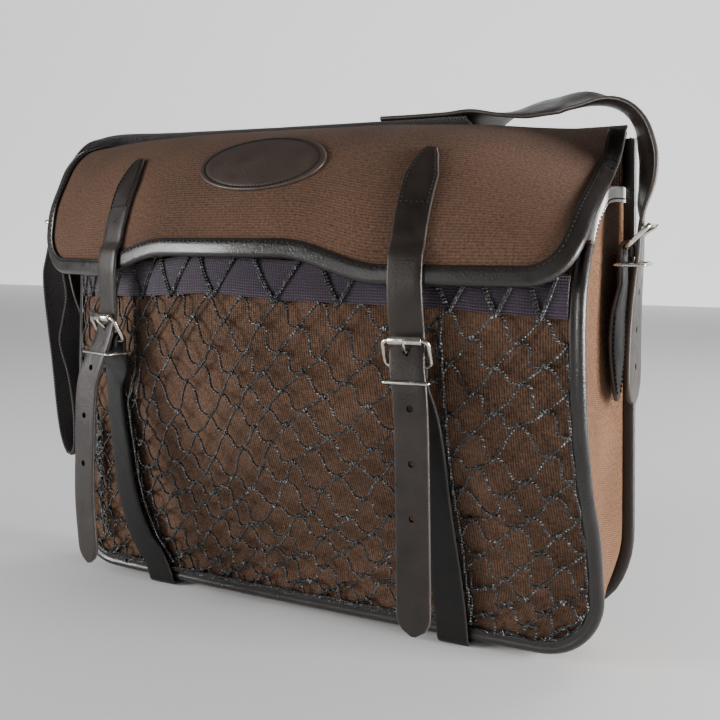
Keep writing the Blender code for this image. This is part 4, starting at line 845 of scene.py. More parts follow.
# Buckles of the closing straps.
# A bent wire frame of nickelled steel with a roller on its outer bar and a prong on the inner one.
# A loop of thinner wire under it keeps the strap's end down.
WIRE_RADIUS, ROLLER_RADIUS, PRONG_RADIUS, KEEPER_RADIUS = 0.0014, 0.0027, 0.0009, 0.0010
FRAME_CORNER, KEEPER_CORNER, WIRE_CORNER_STEPS = 0.0035, 0.0019, 6
KEEPER_SPARE = {"right": 0.0030, "left": 0.0060, "side": 0.0024}
CHAPE_THICKNESS = 0.0025
BUCKLES = {
    # heights of the roller, the bar under it and the keeper, and the turn of the frame
    "right": {"roller_z": 0.1935, "bar_z": 0.1785, "keeper_z": 0.1705, "turn": 9},
    "left": {"roller_z": 0.1970, "bar_z": 0.1820, "keeper_z": 0.1735, "turn": -19},
}
nickel = Finish("nickelled steel wire", (0.66, 0.63, 0.57), 0.20, {"Metallic": 1.0})
nickel_smear, nickel_wear = nickel.grain(130.0, 4.0), nickel.grain(900.0, 2.0)
nickel.feed("Base Color", nickel.mix((nickel_smear * 1.4 - 0.3).clamped(),
                                     (0.48, 0.45, 0.40), (0.74, 0.71, 0.65)))
nickel.feed("Roughness", ((nickel_smear - 0.5) * 0.35 + 0.22).clamped())
nickel.bump(nickel_wear, 0.00004, 0.5)


def tube_ring(centre, out, up, radius, sides=12):
    turns = [2 * math.pi * side / sides for side in range(sides)]
    return [centre + out * radius * math.cos(turn) + up * radius * math.sin(turn) for turn in turns]


def wire_rectangle(node, centre, across, along, half_across, half_along, corner, radius):
    """A closed wire of round section, bent to a rectangle with round corners."""
    points = []
    for number, (sign_a, sign_b) in enumerate(((1, 1), (-1, 1), (-1, -1), (1, -1))):
        for step in range(WIRE_CORNER_STEPS + 1):
            angle = math.radians(90 * number + 90 * step / WIRE_CORNER_STEPS)
            a = sign_a * (half_across - corner) + corner * math.cos(angle)
            b = sign_b * (half_along - corner) + corner * math.sin(angle)
            points.append(centre + across * a + along * b)
    count, normal = len(points), Vector()
    for index in range(count):
        normal += points[index].cross(points[(index + 1) % count])
    normal.normalize()
    rings = []
    for index, point in enumerate(points):
        forward = (points[(index + 1) % count] - points[index - 1]).normalized()
        rings.append(tube_ring(point, forward.cross(normal).normalized(), normal, radius))
    dress(loft(f"{node}_wire", rings, nickel, closed=True), "nickel", node)


def prong(node, bar, rest, rest_radius, across):
    """Hook round a bar, then straight through the strap, with the tip over the far bar."""
    up = (rest - bar).normalized()
    front = across.cross(up).normalized()
    hook, lift = WIRE_RADIUS + PRONG_RADIUS + 0.0003, rest_radius + PRONG_RADIUS + 0.0003
    lean = math.degrees(math.asin((hook + lift) / (rest - bar).length))
    points = []
    for step in range(11):
        angle = math.radians(185 + (90 - lean - 185) * step / 10)
        points.append(bar + up * hook * math.cos(angle) - front * hook * math.sin(angle))
    over = rest + front * lift
    ends = points[-1], over
    points += [over - up * 0.0010 - front * 0.0003, over + up * 0.0008 - front * 0.0002,
               over + up * 0.0028 - front * 0.0002]
    radii = [PRONG_RADIUS] * (len(points) - 2) + [PRONG_RADIUS * 0.9, PRONG_RADIUS * 0.55]
    rings = []
    for index, (point, radius) in enumerate(zip(points, radii)):
        forward = (points[min(index + 1, len(points) - 1)] - points[max(index - 1, 0)]).normalized()
        rings.append(tube_ring(point, across, across.cross(forward), radius))
    dress(loft(f"{node}_wire", rings, nickel), "nickel", node)
    return ends


def crossing(stations, start, end):
    """Where a straight line meets a hanging strap, and the line's direction."""
    places = [start.lerp(end, step / 200) for step in range(201)]
    gaps = [abs(place.y - station_at(stations, place.z)[0].y) for place in places]
    return places[gaps.index(min(gaps))], (end - start).normalized()


bars = {}
for side, sizes in BUCKLES.items():
    stations = billets[side]
    across = turned(sizes["turn"])
    out = across.cross(Vector((0, 0, 1))).normalized()
    half_strap = STRAP_THICKNESS / 2
    roller_at = station_at(stations, sizes["roller_z"])[0] + out * (half_strap + 2 * GAP + ROLLER_RADIUS)
    wrapped = WIRE_RADIUS + GAP + CHAPE_THICKNESS
    bar_at = station_at(stations, sizes["bar_z"])[0] - out * (half_strap + 2 * GAP + wrapped)
    bar_at += across * (roller_at - bar_at).dot(across)
    up = (roller_at - bar_at).normalized()
    wire_rectangle(f"buckle_{side}", (roller_at + bar_at) / 2, across, up,
                   STRAP_WIDTH / 2 + WIRE_RADIUS + KEEPER_SPARE[side] / 2, (roller_at - bar_at).length / 2,
                   FRAME_CORNER, WIRE_RADIUS)
    guide = Vector((0, 0, 1))
    half, bore, soft = STRAP_WIDTH / 2 - 0.0005, WIRE_RADIUS + 0.0003, 0.0004
    profile = ((-half, bore), (-half, ROLLER_RADIUS - soft), (soft - half, ROLLER_RADIUS),
               (half - soft, ROLLER_RADIUS), (half, ROLLER_RADIUS - soft), (half, bore))
    rings = [tube_ring(roller_at + across * reach, across.cross(guide), guide, radius, 24)
             for reach, radius in profile]
    dress(loft(f"roller_{side}_tube", rings, nickel, closed=True), "nickel", f"roller_{side}")
    start, over = prong(f"prong_{side}", bar_at, roller_at, ROLLER_RADIUS, across)
    front = station_at(stations, sizes["keeper_z"])[0] + out * (half_strap + 3 * GAP + KEEPER_RADIUS)
    behind = bar_at - out * (wrapped + 3 * GAP + KEEPER_RADIUS)
    keeper_depth = (front - behind).dot(out)
    centre = front - out * keeper_depth / 2
    centre.z = sizes["keeper_z"]
    centre += across * (bar_at - centre).dot(across) / 2
    wire_rectangle(f"keeper_{side}", centre, across, out, STRAP_WIDTH / 2 + KEEPER_SPARE[side],
                   keeper_depth / 2, KEEPER_CORNER, KEEPER_RADIUS)
    bars[side] = (bar_at, across, out)
    holes, ways = [list(item) for item in zip(crossing(stations, start, over))]
    for height in HOLE_HEIGHTS[side]:
        place, way = station_at(stations, height)
        holes.append(place)
        ways.append(way.cross(Vector((0, 0, 1))).normalized())
    billet = strap(f"billet_{side}_leather", stations, STRAP_THICKNESS, strap_leather)
    punch(billet, holes, ways, HOLE_RADIUS)
    dress(billet, "leather", f"billet_{side}")

# Chapes.
# The straps that hold the buckles. Each loops round its buckle's bar, comes down over the net, turns
# round the bottom seam and runs under the bag.
CHAPE_ROWS = {
    "right": ((0.1130, 0.150), (0.1144, 0.128), (0.1122, 0.095), (0.1117, 0.050), (0.1125, 0.022)),
    "left": ((-0.1330, 0.152), (-0.1370, 0.128), (-0.1382, 0.100), (-0.1392, 0.075), (-0.1360, 0.050),
             (-0.1285, 0.031), (-0.1195, 0.0205)),
}
CHAPE_OFFSET = 0.0052
SLOT_WIDTH, SLOT_DEPTH, SLOT_LOW, SLOT_HIGH = 0.0036, 0.013, -0.0034, 0.0070
chape_leather = leather("smooth chape leather", (0.004, 0.0035, 0.0035), (0.010, 0.009, 0.008), 0.46,
                        gloss=0.22, coat=0.05)


def cut_slot(piece, bar, across, out):
    """Cut the slot in a leather loop where the prong's hook passes."""
    made = bmesh.new()
    bmesh.ops.create_cube(made, size=1.0)
    for corner in made.verts:
        height = (SLOT_LOW + SLOT_HIGH) / 2 + corner.co.z * (SLOT_HIGH - SLOT_LOW)
        corner.co = (bar + across * corner.co.x * SLOT_WIDTH + out * corner.co.y * SLOT_DEPTH
                     + Vector((0, 0, height)))
    bmesh.ops.recalc_face_normals(made, faces=made.faces)
    cut_with(piece, made)


for side, (bar_at, across, out) in bars.items():
    wrap = WIRE_RADIUS + GAP + CHAPE_THICKNESS / 2
    up = Vector((0, 0, 1))
    rows = [(*(bar_at + out * wrap - up * 0.0045), *across)]
    for degrees in range(0, 181, 15):
        angle = math.radians(degrees)
        rows.append((*(bar_at + out * wrap * math.cos(angle) + up * wrap * math.sin(angle)), *across))
    tight_start = len(rows)
    rows.append((*(bar_at - out * (wrap + 0.0002) - up * 0.010), *across))
    for x, z in CHAPE_ROWS[side]:
        rise = front_depth(x + 0.010, z) - front_depth(x - 0.010, z)
        slope = Vector((0.020, -rise, 0.0)).normalized()
        rows.append((x, BACK_Y - front_depth(x, z) - CHAPE_OFFSET - CHAPE_THICKNESS / 2, z, *slope))
    base = CHAPE_BASE[side]
    seam = front_depth(base, PIPING_BOTTOM)
    round_seam = PIPING_RADIUS + 0.0009 + CHAPE_THICKNESS / 2
    tight_end = len(rows)
    for degrees in range(0, -91, -15):
        angle = math.radians(degrees)
        depth = seam + 0.0020 + (round_seam - 0.0008) * math.cos(angle)
        rows.append((base, BACK_Y - depth, PIPING_BOTTOM + round_seam * math.sin(angle), 1.0, 0.0, 0.0))
    level = PIPING_BOTTOM - round_seam
    rows.append((base, BACK_Y - seam + 0.010, level, 1.0, 0.0, 0.0))
    rows.append((base, BACK_Y - 0.006, level, 1.0, 0.0, 0.0))
    long_run = smooth_stations(rows[tight_start - 1:tight_end + 1], 0.0040)
    course = rows[:tight_start] + long_run[1:-1] + rows[tight_end:]
    stations = [(Vector(row[:3]), Vector(row[3:6]), STRAP_WIDTH) for row in course]
    chape = strap(f"chape_{side}_leather", stations, CHAPE_THICKNESS, chape_leather)
    cut_slot(chape, bar_at, across, out)
    dress(chape, "leather", f"chape_{side}")

# Elastic band of the net pocket.
# A ribbed purple band of knitted elastic that runs behind the net's top and is drawn tight across
# the front, its ends caught in the side seams.
NET_OFFSET, NET_SLACK, BAND_HEIGHT, BAND_THICKNESS = 0.0013, 0.0085, 0.0235, 0.0016
BAND_ROWS = ((-0.2, 0.2075), (-0.1, 0.2105), (-0.03, 0.2155), (0.035, 0.2130), (0.11, 0.2115), (0.2, 0.2065))
elastic = Finish("purple ribbed elastic with painted shade", (0.060, 0.034, 0.066), 0.8,
                 {"Sheen Weight": 0.3, "Specular IOR Level": 0.3})
u, v = elastic.surface()
cross_rib = (u * (2 * math.pi / 0.0017)).sine()
long_rib = (v * (2 * math.pi / 0.0016)).sine()
knit_relief_and_groove_shade = cross_rib * 0.8 + long_rib * 0.22 + (elastic.noise(u * 900.0, v * 900.0) - 0.5)
# Purple knit, but its colours are kept low to paint the shadow the flap casts on the band, and darker in the
# rib grooves to paint their shade.
elastic.feed("Base Color", elastic.mix((knit_relief_and_groove_shade * 0.42 + 0.5).clamped(),
                                       (0.007, 0.003, 0.008), (0.046, 0.024, 0.050)))
elastic.bump(knit_relief_and_groove_shade, 0.00035, 1.0)
pocket_limit = PIPING_HALF_WIDTH - FLANGE_WIDTH - 2 * GAP
pocket_bottom = PIPING_BOTTOM + FLANGE_WIDTH + 2 * GAP
pocket_radius = CORNER_RADIUS - (HALF_WIDTH - pocket_limit)


def band_bottom(x):
    return interpolate(BAND_ROWS, x, 1)


rings = []
for step in range(129):
    x = pocket_limit * (2 * step / 128 - 1)
    low = band_bottom(x) + 0.0006 * ripple(x, 0.0, 0.012, 2.0)
    front, rear = [], []
    for height in range(11):
        z = low + BAND_HEIGHT * height / 10
        puff = 0.0005 * math.sin(math.pi * height / 10) + 0.0003 * ripple(x, z, 0.009, 4.0)
        soft = 0.0006 if height in (0, 10) else 0.0
        front.append(at(x, front_depth(x, z) + NET_OFFSET + BAND_THICKNESS + puff - soft, z))
        rear.append(at(x, front_depth(x, z) + NET_OFFSET, z))
    rings.append(front + rear[::-1])
pocket_band = loft("pocket_band_elastic", rings, elastic)
dress(pocket_band, "elastic", "pocket_band")

# Net pocket.
# Coarse diamond netting of twisted black cord, knotted at every crossing. It hangs loose over the
# front, bunches beside the chapes, is caught in the seam below and at the sides, and is laced over
# the elastic band at its mouth.
CORD_RADIUS, KNOT_RADIUS, CORD_SIDES = 0.00078, 0.0016, 6
NET_COLUMNS, NET_ROWS = 30, 17
cord_black = Finish("twisted black cord", (0.010, 0.009, 0.010), 0.38, {"Specular IOR Level": 0.8})
strand = cord_black.mark("along")
twist = (strand * (2 * math.pi / 0.0021) + cord_black.mark("around") * (2 * math.pi)).sine()
# The pale flecks along the twist are painted highlights: glints of the lights on the black cord, mixed into
# its colour.
glint_grain = cord_black.grain(380.0, 3.0)
painted_glint_mask = (twist * 0.45 + (glint_grain - 0.5) * 4.0 - 0.42).clamped()
cord_black.feed("Base Color", cord_black.mix(painted_glint_mask, (0.003, 0.003, 0.003), (0.44, 0.43, 0.43)))
cord_black.bump(twist, 0.00030, 1.0)


def modelled(source, tree, values):
    """Run a Geometry Nodes tree on an object and keep its result as a plain mesh."""
    made = source.modifiers.new("made", "NODES")
    made.node_group = tree
    for item in tree.interface.items_tree:
        if item.in_out == "INPUT" and item.name in values:
            made[item.identifier] = values[item.name]
    source.update_tag()
    plain, name = evaluated_mesh(source), source.name
    bpy.data.objects.remove(source, do_unlink=True)
    plain.name = name
    return placed(name, plain)


def polylines(name, lines, closed=False):
    """An object of bare edges through lines of points, for a Geometry Nodes tree to follow."""
    points, edges = [], []
    for line in lines:
        first = len(points)
        points += line
        edges += [(first + step, first + step + 1) for step in range(len(line) - 1)]
        if closed:
            edges.append((len(points) - 1, first))
    mesh = bpy.data.meshes.new(name)
    mesh.from_pydata(points, edges, [])
    return placed(name, mesh)


class Recipe:
    """A Geometry Nodes tree with named inputs, that takes lines of edges and ends in a painted mesh."""

    def __init__(self, name, inputs):
        self.tree = bpy.data.node_groups.new(name, "GeometryNodeTree")
        face = self.tree.interface
        face.new_socket("Geometry", in_out="INPUT", socket_type="NodeSocketGeometry")
        for label, kind, value in inputs:
            socket = face.new_socket(label, in_out="INPUT", socket_type="NodeSocket" + kind)
            if value is not None:
                socket.default_value = value
        face.new_socket("Geometry", in_out="OUTPUT", socket_type="NodeSocketGeometry")
        self.given = self.tree.nodes.new("NodeGroupInput").outputs

    def node(self, kind, out, sockets, settings=None):
        """Add a node and give its output of that name. A socket takes a value or another output."""
        made = self.tree.nodes.new(kind)
        for setting, value in (settings or {}).items():
            setattr(made, setting, value)
        for key, value in sockets.items():
            if isinstance(value, bpy.types.NodeSocket):
                self.tree.links.new(value, made.inputs[key])
            else:
                made.inputs[key].default_value = value
        return made.outputs[out] if out else made

    def paint(self, shape):
        """Smooth the shape, give it the finish that the modifier names, and end the tree."""
        smooth = self.node("GeometryNodeSetShadeSmooth", "Geometry", {"Geometry": shape})
        painted = self.node("GeometryNodeSetMaterial", "Geometry",
                            {"Geometry": smooth, "Material": self.given["Finish"]})
        self.node("NodeGroupOutput", None, {"Geometry": painted})
        return self.tree


cord = Recipe("laid cord", (("Radius", "Float", CORD_RADIUS), ("Sides", "Int", CORD_SIDES),
                            ("Finish", "Material", None)))
curve = cord.node("GeometryNodeMeshToCurve", "Curve", {"Mesh": cord.given["Geometry"]})
along = cord.node("GeometryNodeSplineParameter", None, {})
marked = cord.node("GeometryNodeStoreNamedAttribute", "Geometry",
                   {"Geometry": curve, "Name": "along", "Value": along.outputs["Length"]})
circle = cord.node("GeometryNodeCurvePrimitiveCircle", "Curve",
                   {"Resolution": cord.given["Sides"], "Radius": cord.given["Radius"]})
section = cord.node("GeometryNodeStoreNamedAttribute", "Geometry",
                    {"Geometry": circle, "Name": "around", "Value": along.outputs["Factor"]})
cord_tree = cord.paint(cord.node("GeometryNodeCurveToMesh", "Mesh",
                                 {"Curve": marked, "Profile Curve": section, "Fill Caps": True}))


def chape_x(side, z):
    rows = tuple((row[1], row[0]) for row in reversed(CHAPE_ROWS[side]))
    return interpolate(rows, z, 1)


def net_slack(x, z, part):
    """How far the net hangs off the panel, pressed flat under the chapes and sewn down at the seams."""
    clear = min(abs(x - chape_x(side, z)) for side in ("left", "right"))
    across = 1 - min(abs(x) / HALF_WIDTH, 1.0) ** 5
    return NET_SLACK * smoothstep((clear - 0.017) / 0.020) * across * math.sin(math.pi * part ** 0.75)


def net_place(across, part, lift):
    """A place on the net: across from -1 to 1 and part of the way up, lifted off the panel."""
    x = across * pocket_limit
    z = pocket_bottom + (band_bottom(x) - GAP - pocket_bottom) * part
    beyond = (abs(x) - pocket_limit + pocket_radius) / pocket_radius
    below = (pocket_bottom + pocket_radius - z) / pocket_radius
    if beyond > 0 and below > 0:
        x = math.copysign(pocket_limit - pocket_radius
                          + pocket_radius * beyond * math.sqrt(max(1 - below ** 2 / 2, 0.0)), x)
        z = pocket_bottom + pocket_radius - pocket_radius * below * math.sqrt(max(1 - beyond ** 2 / 2, 0.0))
    return at(x, front_depth(x, z) + 0.0009 + 0.5 * net_slack(x, z, min(max(part, 0.0), 1.0)) + lift, z)


draw = random.Random(7)


def net_knot(column, row):
    """Where a knot lies: an even grid, pulled about by the cloth and the straps."""
    across, part = 2 * column / NET_COLUMNS - 1, (row / NET_ROWS) ** 1.15
    free = smoothstep((1 - abs(across)) * 9) * smoothstep(row / 2) * smoothstep((NET_ROWS - row) / 3)
    drift_x = 0.030 * ripple(across * 1.1, part * 0.9, 0.32, 11.0) + 0.010 * ripple(across, part, 0.09, 3.0)
    drift_z = 0.060 * ripple(across * 1.1, part * 0.8, 0.30, 23.0) + 0.026 * ripple(across, part, 0.10, 9.0)
    sag = -0.045 * (1 - across ** 2) * math.sin(math.pi * part)
    jitter_x, jitter_z = draw.uniform(-0.007, 0.007), draw.uniform(-0.013, 0.013)
    return across + (drift_x + jitter_x) * free, part + (drift_z + sag + jitter_z) * free


knots = {(column, row): net_knot(column, row)
         for row in range(NET_ROWS + 1) for column in range(NET_COLUMNS + 1) if (column + row) % 2 == 0}
net_lines, knot_lines = [], []


def net_cord(first, last, slack, way=1):
    """A cord between two knots, bowed in the net's plane and a little off it."""
    bow, wave = draw.uniform(-0.5, 0.5) * slack, way * draw.uniform(0.3, 1.2) * slack
    droop = draw.uniform(0.0, 0.9) * slack
    lift = draw.uniform(0.0002, 0.0026)
    line = []
    for step in range(11):
        part = step / 10
        arc, swing = math.sin(math.pi * part), math.sin(2 * math.pi * part)
        across = first[0] + (last[0] - first[0]) * part + (bow * arc + wave * swing)
        height = first[1] + (last[1] - first[1]) * part - droop * arc * 0.9 + wave * swing
        line.append(net_place(across, height, lift * arc))
    net_lines.append(line)


for (column, row), place in knots.items():
    slack = 0.012 + 0.006 * smoothstep((6 - row) / 6)
    for way in (-1, 1):
        if (column + way, row + 1) in knots:
            net_cord(place, knots[(column + way, row + 1)], slack, way)
    if 0 < column < NET_COLUMNS:
        middle = net_place(*place, 0.0003)
        half = Vector((draw.uniform(0.7, 1.2), 0.0, draw.uniform(-0.7, 0.7))) * 0.0012
        knot_lines.append([middle - half, middle + half * 0.1 + Vector((0, -0.0002, 0)), middle + half])
for row in range(0, NET_ROWS, 2):
    for column in (0, NET_COLUMNS):
        if (column, row + 2) in knots:
            net_cord(knots[(column, row)], knots[(column, row + 2)], 0.004)
for column in range(0, NET_COLUMNS, 2):
    net_cord(knots[(column, 0)], knots[(column + 2, 0)], 0.004)
# Loose cord: the bunched edges beside the straps and the curls caught between the left straps
BUNCHES = (
    # strands and spread, then the way down: x and height
    (4, 0.0016, [(-0.0990, 0.2050), (-0.1020, 0.1780), (-0.1080, 0.1560), (-0.1230, 0.1360),
                 (-0.1250, 0.1050), (-0.1262, 0.0780), (-0.1232, 0.0520), (-0.1150, 0.0330),
                 (-0.1040, 0.0190)]),
    (3, 0.0012, [(0.1270, 0.2050), (0.1262, 0.1650), (0.1256, 0.1300), (0.1236, 0.0950),
                 (0.1230, 0.0500), (0.1240, 0.0150)]),
    (3, 0.0016, [(-0.1700, 0.0135), (-0.1300, 0.0128), (-0.0815, 0.0125), (0.0028, 0.0135),
                 (0.0756, 0.0130)]),
)
CURLS = [(-0.1690, 0.1340), (-0.1690, 0.1063), (-0.1720, 0.0826), (-0.1730, 0.0585), (-0.1700, 0.0364),
         (-0.1600, 0.0226), (-0.1480, 0.0150)]


def on_path(path, part):
    """A place part of the way along a path of x and height."""
    place = min(max(part, 0.0), 0.9999) * (len(path) - 1)
    low = int(place)
    return [a + (b - a) * (place - low) for a, b in zip(path[low], path[low + 1])]


def loose_cord(path, first, last, spread, turns, rise):
    """A strand that winds about a path, a little off the panel."""
    start, line, steps = draw.uniform(0, 2 * math.pi), [], max(12, int(turns * 12))
    for step in range(steps + 1):
        part = first + (last - first) * step / steps
        x, z = on_path(path, part)
        angle = start + 2 * math.pi * turns * step / steps
        size = spread * (0.75 + 0.5 * ripple(x, z, 0.012, start))
        x, z = x + size * math.cos(angle), z + size * math.sin(angle)
        lift = rise * (0.6 + 0.4 * math.sin(angle + 1.0)) + 0.0010
        line.append(at(x, front_depth(x, z) + 0.0010 + lift, z))
    return line


for strands, spread, path in BUNCHES:
    for _ in range(strands):
        net_lines.append(loose_cord(path, 0.0, 1.0, spread, draw.uniform(2.5, 6.0), 0.0022))
for _ in range(15):
    first = draw.uniform(0.0, 0.72)
    net_lines.append(loose_cord(CURLS, first, first + draw.uniform(0.16, 0.3), draw.uniform(0.0030, 0.0075),
                                draw.uniform(1.0, 2.6), draw.uniform(0.001, 0.004)))
# Lacing of the net over the elastic band: the x of each low knot, and how far its two cords spread
LACING = ((-0.186, 0.011), (-0.168, 0.012), (-0.128, 0.012), (-0.090, 0.013), (-0.058, 0.015),
          (-0.020, 0.016), (0.024, 0.017), (0.066, 0.014), (0.132, 0.013), (0.158, 0.012), (0.182, 0.008))
lacing_lines = []
for x, spread in LACING:
    low = band_bottom(x) - 0.001
    for way in (-1, 1):
        line = []
        for step in range(9):
            part = step / 8
            px = x + way * spread * part + 0.0008 * math.sin(math.pi * part) * way
            pz = low + (BAND_HEIGHT + 0.004) * part
            line.append(at(px, front_depth(px, pz) + NET_OFFSET + BAND_THICKNESS + 0.0014, pz))
        lacing_lines.append(line)
        lacing_lines.append([point + Vector((0.0011, 0.0003, 0.0004)) for point in line])
    middle = at(x, front_depth(x, low) + NET_OFFSET + BAND_THICKNESS + 0.0016, low)
    knot_lines.append([middle - Vector((0.0015, 0, 0.0004)), middle, middle + Vector((0.0015, 0, 0.0006))])
net_values = {"Finish": cord_black.material, "Sides": CORD_SIDES}
net = modelled(polylines("net_pocket_cords", net_lines + lacing_lines), cord_tree,
               {**net_values, "Radius": CORD_RADIUS})
dress(net, "cord", "net_pocket")
net_knots = modelled(polylines("net_pocket_knots", knot_lines), cord_tree,
                     {**net_values, "Radius": KNOT_RADIUS})
dress(net_knots, "cord", "net_pocket")

# Shoulder strap.
# Woven cotton webbing runs from the left ring in a hanging bight, up the left side and along the top.
# It is sewn to a leather strap, which crosses to the right side and goes through the side buckle.
SHOULDER_WIDTH, WEBBING_THICKNESS, LEATHER_THICKNESS, TAB_THICKNESS = 0.038, 0.0025, 0.0029, 0.0024
WEBBING_ROWS = (
    # x, depth, height, and the way across where it isn't straight back: in x, in depth and in height
    (0.1040, 0.0000, 0.3214, 0.00, 0.94, 0.34),
    (0.0500, 0.0000, 0.3212, 0.00, 0.94, 0.34),
    (0.0000, 0.0000, 0.3212, 0.00, 0.94, 0.34),
    (-0.0500, 0.0000, 0.3212, 0.00, 0.94, 0.34),
    (-0.1000, 0.0000, 0.3215, 0.00, 0.94, 0.34),
    (-0.1450, 0.0000, 0.3225, 0.00, 0.95, 0.31),
    (-0.1720, 0.0000, 0.3238, 0.00, 0.96, 0.28),
    (-0.1944, 0.0005, 0.3245, 0.00, 0.98, 0.20),
    (-0.2065, 0.0022, 0.3228, 0.00, 0.99, 0.12),
    (-0.2150, 0.0065, 0.3180, 0.00, 1.00, 0.05),
    (-0.2218, 0.0140, 0.3055),
    (-0.2266, 0.0200, 0.2885),
    (-0.2313, 0.0240, 0.2680),
    (-0.2335, 0.0260, 0.2478),
    (-0.2372, 0.0260, 0.2337),
    (-0.2400, 0.0260, 0.2226),
    (-0.2383, 0.0270, 0.2070),
    (-0.2353, 0.0270, 0.1850),
    (-0.2303, 0.0270, 0.1538),
    (-0.2263, 0.0270, 0.1227),
    (-0.2223, 0.0270, 0.0995),
    (-0.2175, 0.0270, 0.0865),
    (-0.2130, 0.0270, 0.0815),
    (-0.2088, 0.0270, 0.0855),
    (-0.2078, 0.0270, 0.1000),
    (-0.2092, 0.0270, 0.1200),
    (-0.2145, 0.0270, 0.1450),
    (-0.2225, 0.0270, 0.1680),
    (-0.2195, 0.0268, 0.1860),
    (-0.2166, 0.0262, 0.2000),
    (-0.2172, 0.0258, 0.2090),
    (-0.2204, 0.0255, 0.2220),
)
SHOULDER_LEATHER_ROWS = (
    (0.0420, 0.0000, 0.3244, 0.00, 0.94, 0.34),
    (0.0700, 0.0000, 0.3244, 0.00, 0.94, 0.34),
    (0.0900, 0.0000, 0.3248, 0.00, 0.94, 0.34),
    (0.1080, 0.0000, 0.3266, 0.00, 0.95, 0.30),
    (0.1270, 0.0000, 0.3302, 0.00, 0.99, -0.12),
    (0.1425, 0.0000, 0.3322, 0.00, 0.94, -0.33),
    (0.1560, 0.0010, 0.3337, 0.00, 0.93, -0.37),
    (0.1705, 0.0030, 0.3352, 0.00, 0.91, -0.40),
    (0.1830, 0.0070, 0.3338, 0.05, 0.95, -0.28),
    (0.1950, 0.0120, 0.3312, 0.14, 0.97, -0.15),
    (0.2045, 0.0170, 0.3272, 0.26, 0.95, -0.06),
    (0.2125, 0.0210, 0.3206, 0.36, 0.93, 0.00),
    (0.2180, 0.0235, 0.3120, 0.40, 0.91, 0.00),
    (0.2214, 0.0250, 0.3000, 0.42, 0.91, 0.00),
    (0.2220, 0.0260, 0.2890, 0.42, 0.91, 0.00),
    (0.2212, 0.0268, 0.2800, 0.38, 0.92, 0.00),
    (0.2195, 0.0275, 0.2710, 0.32, 0.95, 0.00),
    (0.2190, 0.0285, 0.2610, 0.20, 0.98, 0.00),
    (0.2185, 0.0290, 0.2510, 0.16, 0.98, 0.00),
    (0.2180, 0.0290, 0.2400, 0.14, 0.99, 0.00),
    (0.2166, 0.0290, 0.2250, 0.10, 0.99, 0.00),
    (0.2150, 0.0290, 0.2000, 0.06, 1.00, 0.00),
    (0.2144, 0.0290, 0.1750, 0.04, 1.00, 0.00),
    (0.2142, 0.0290, 0.1520, 0.04, 1.00, 0.00),
)
webbing = Finish("black brown webbing", (0.024, 0.019, 0.019), 0.85,
                 {"Sheen Weight": 0.3, "Specular IOR Level": 0.3})
u, v = webbing.surface()
pick_relief_and_groove_shade = (u * (2 * math.pi / 0.0024)).sine() * (v * (2 * math.pi / 0.0022)).sine()
fibre = webbing.noise(u * 1400.0, v * 500.0) - 0.5
# Darker between the raised picks, which paints the shade of the weave's hollows, on top of the fibres' own
# uneven tone.
webbing.feed("Base Color", webbing.mix((pick_relief_and_groove_shade * 0.6 + fibre * 1.2 + 0.35).clamped(), (0.014, 0.011, 0.012),
                                       (0.075, 0.062, 0.060)))
webbing.bump(pick_relief_and_groove_shade + fibre, 0.0005, 1.0)


def strap_stations(rows, spacing):
    """Stations of centre, way across and width along a strap's rows."""
    course = []
    for x, depth, z, *rest in rows:
        across_x, across_depth, across_z = rest[:3] or (0.0, 1.0, 0.0)
        course.append((*at(x, depth, z), across_x, -across_depth, across_z, *(rest[3:] or (SHOULDER_WIDTH,))))
    return [(Vector(row[:3]), Vector(row[3:6]), row[6]) for row in smooth_stations(course, spacing)]


webbing_course = strap_stations(WEBBING_ROWS, 0.0045)
shoulder_webbing = strap("shoulder_webbing_cotton", webbing_course, WEBBING_THICKNESS, webbing)
dress(shoulder_webbing, "webbing", "shoulder_webbing")
leather_course = rounded_tip(strap_stations(SHOULDER_LEATHER_ROWS, 0.0036), 0.016)
shoulder_leather = strap("shoulder_strap_leather", leather_course, LEATHER_THICKNESS, strap_leather)

# Side buckle and left ring.
# A leather tab on the right gusset holds a wire buckle with a prong and a keeper. A tab on the left
# gusset holds the plain ring that the webbing is sewn to.
SIDE_ANCHOR_ROWS = (
    # x, depth, height, across in x, in depth, in height, width
    (0.2044, 0.0270, 0.1530, 0, 1, 0, 0.006),
    (0.2044, 0.0270, 0.1600, 0, 1, 0, 0.016),
    (0.2044, 0.0270, 0.1740, 0, 1, 0, 0.029),
    (0.2044, 0.0270, 0.1880, 0, 1, 0, 0.036),
    (0.2052, 0.0275, 0.2060, 0.03, 1.00, 0.00, 0.036),
    (0.2081, 0.0285, 0.2240, 0.12, 0.99, 0.00, 0.036),
)
LEFT_ANCHOR_ROWS = (
    (-0.2044, 0.0240, 0.1300, 0, 1, 0, 0.026),
    (-0.2044, 0.0240, 0.1500, 0, 1, 0, 0.029),
    (-0.2044, 0.0240, 0.1720, 0, 1, 0, 0.029),
    (-0.2065, 0.0242, 0.1880, 0, 1, 0, 0.030),
    (-0.2118, 0.0250, 0.2060, 0, 1, 0, 0.034),
    (-0.2182, 0.0258, 0.2320, 0, 1, 0, 0.034),
)
SIDE_BAR, SIDE_OUTER_BAR, SIDE_DEPTH = (0.2116, 0.2445), (0.2248, 0.2575), 0.0290
SIDE_ACROSS = Vector((0.140, -0.990, 0.0))
SIDE_KEEPER, SIDE_KEEPER_HALF_DEPTH = (0.2143, 0.2345), 0.0086
SIDE_KEEPER_ACROSS = Vector((0.105, -0.9945, 0.0))
SHOULDER_HOLES = (0.2180, 0.1960, 0.1740)
LEFT_BAR, LEFT_OUTER_BAR, LEFT_DEPTH = (-0.2255, 0.2600), (-0.2356, 0.2620), 0.0250
LEFT_ACROSS = Vector((0.0, -1.0, 0.0))
STRAP_SPARE = 0.0036


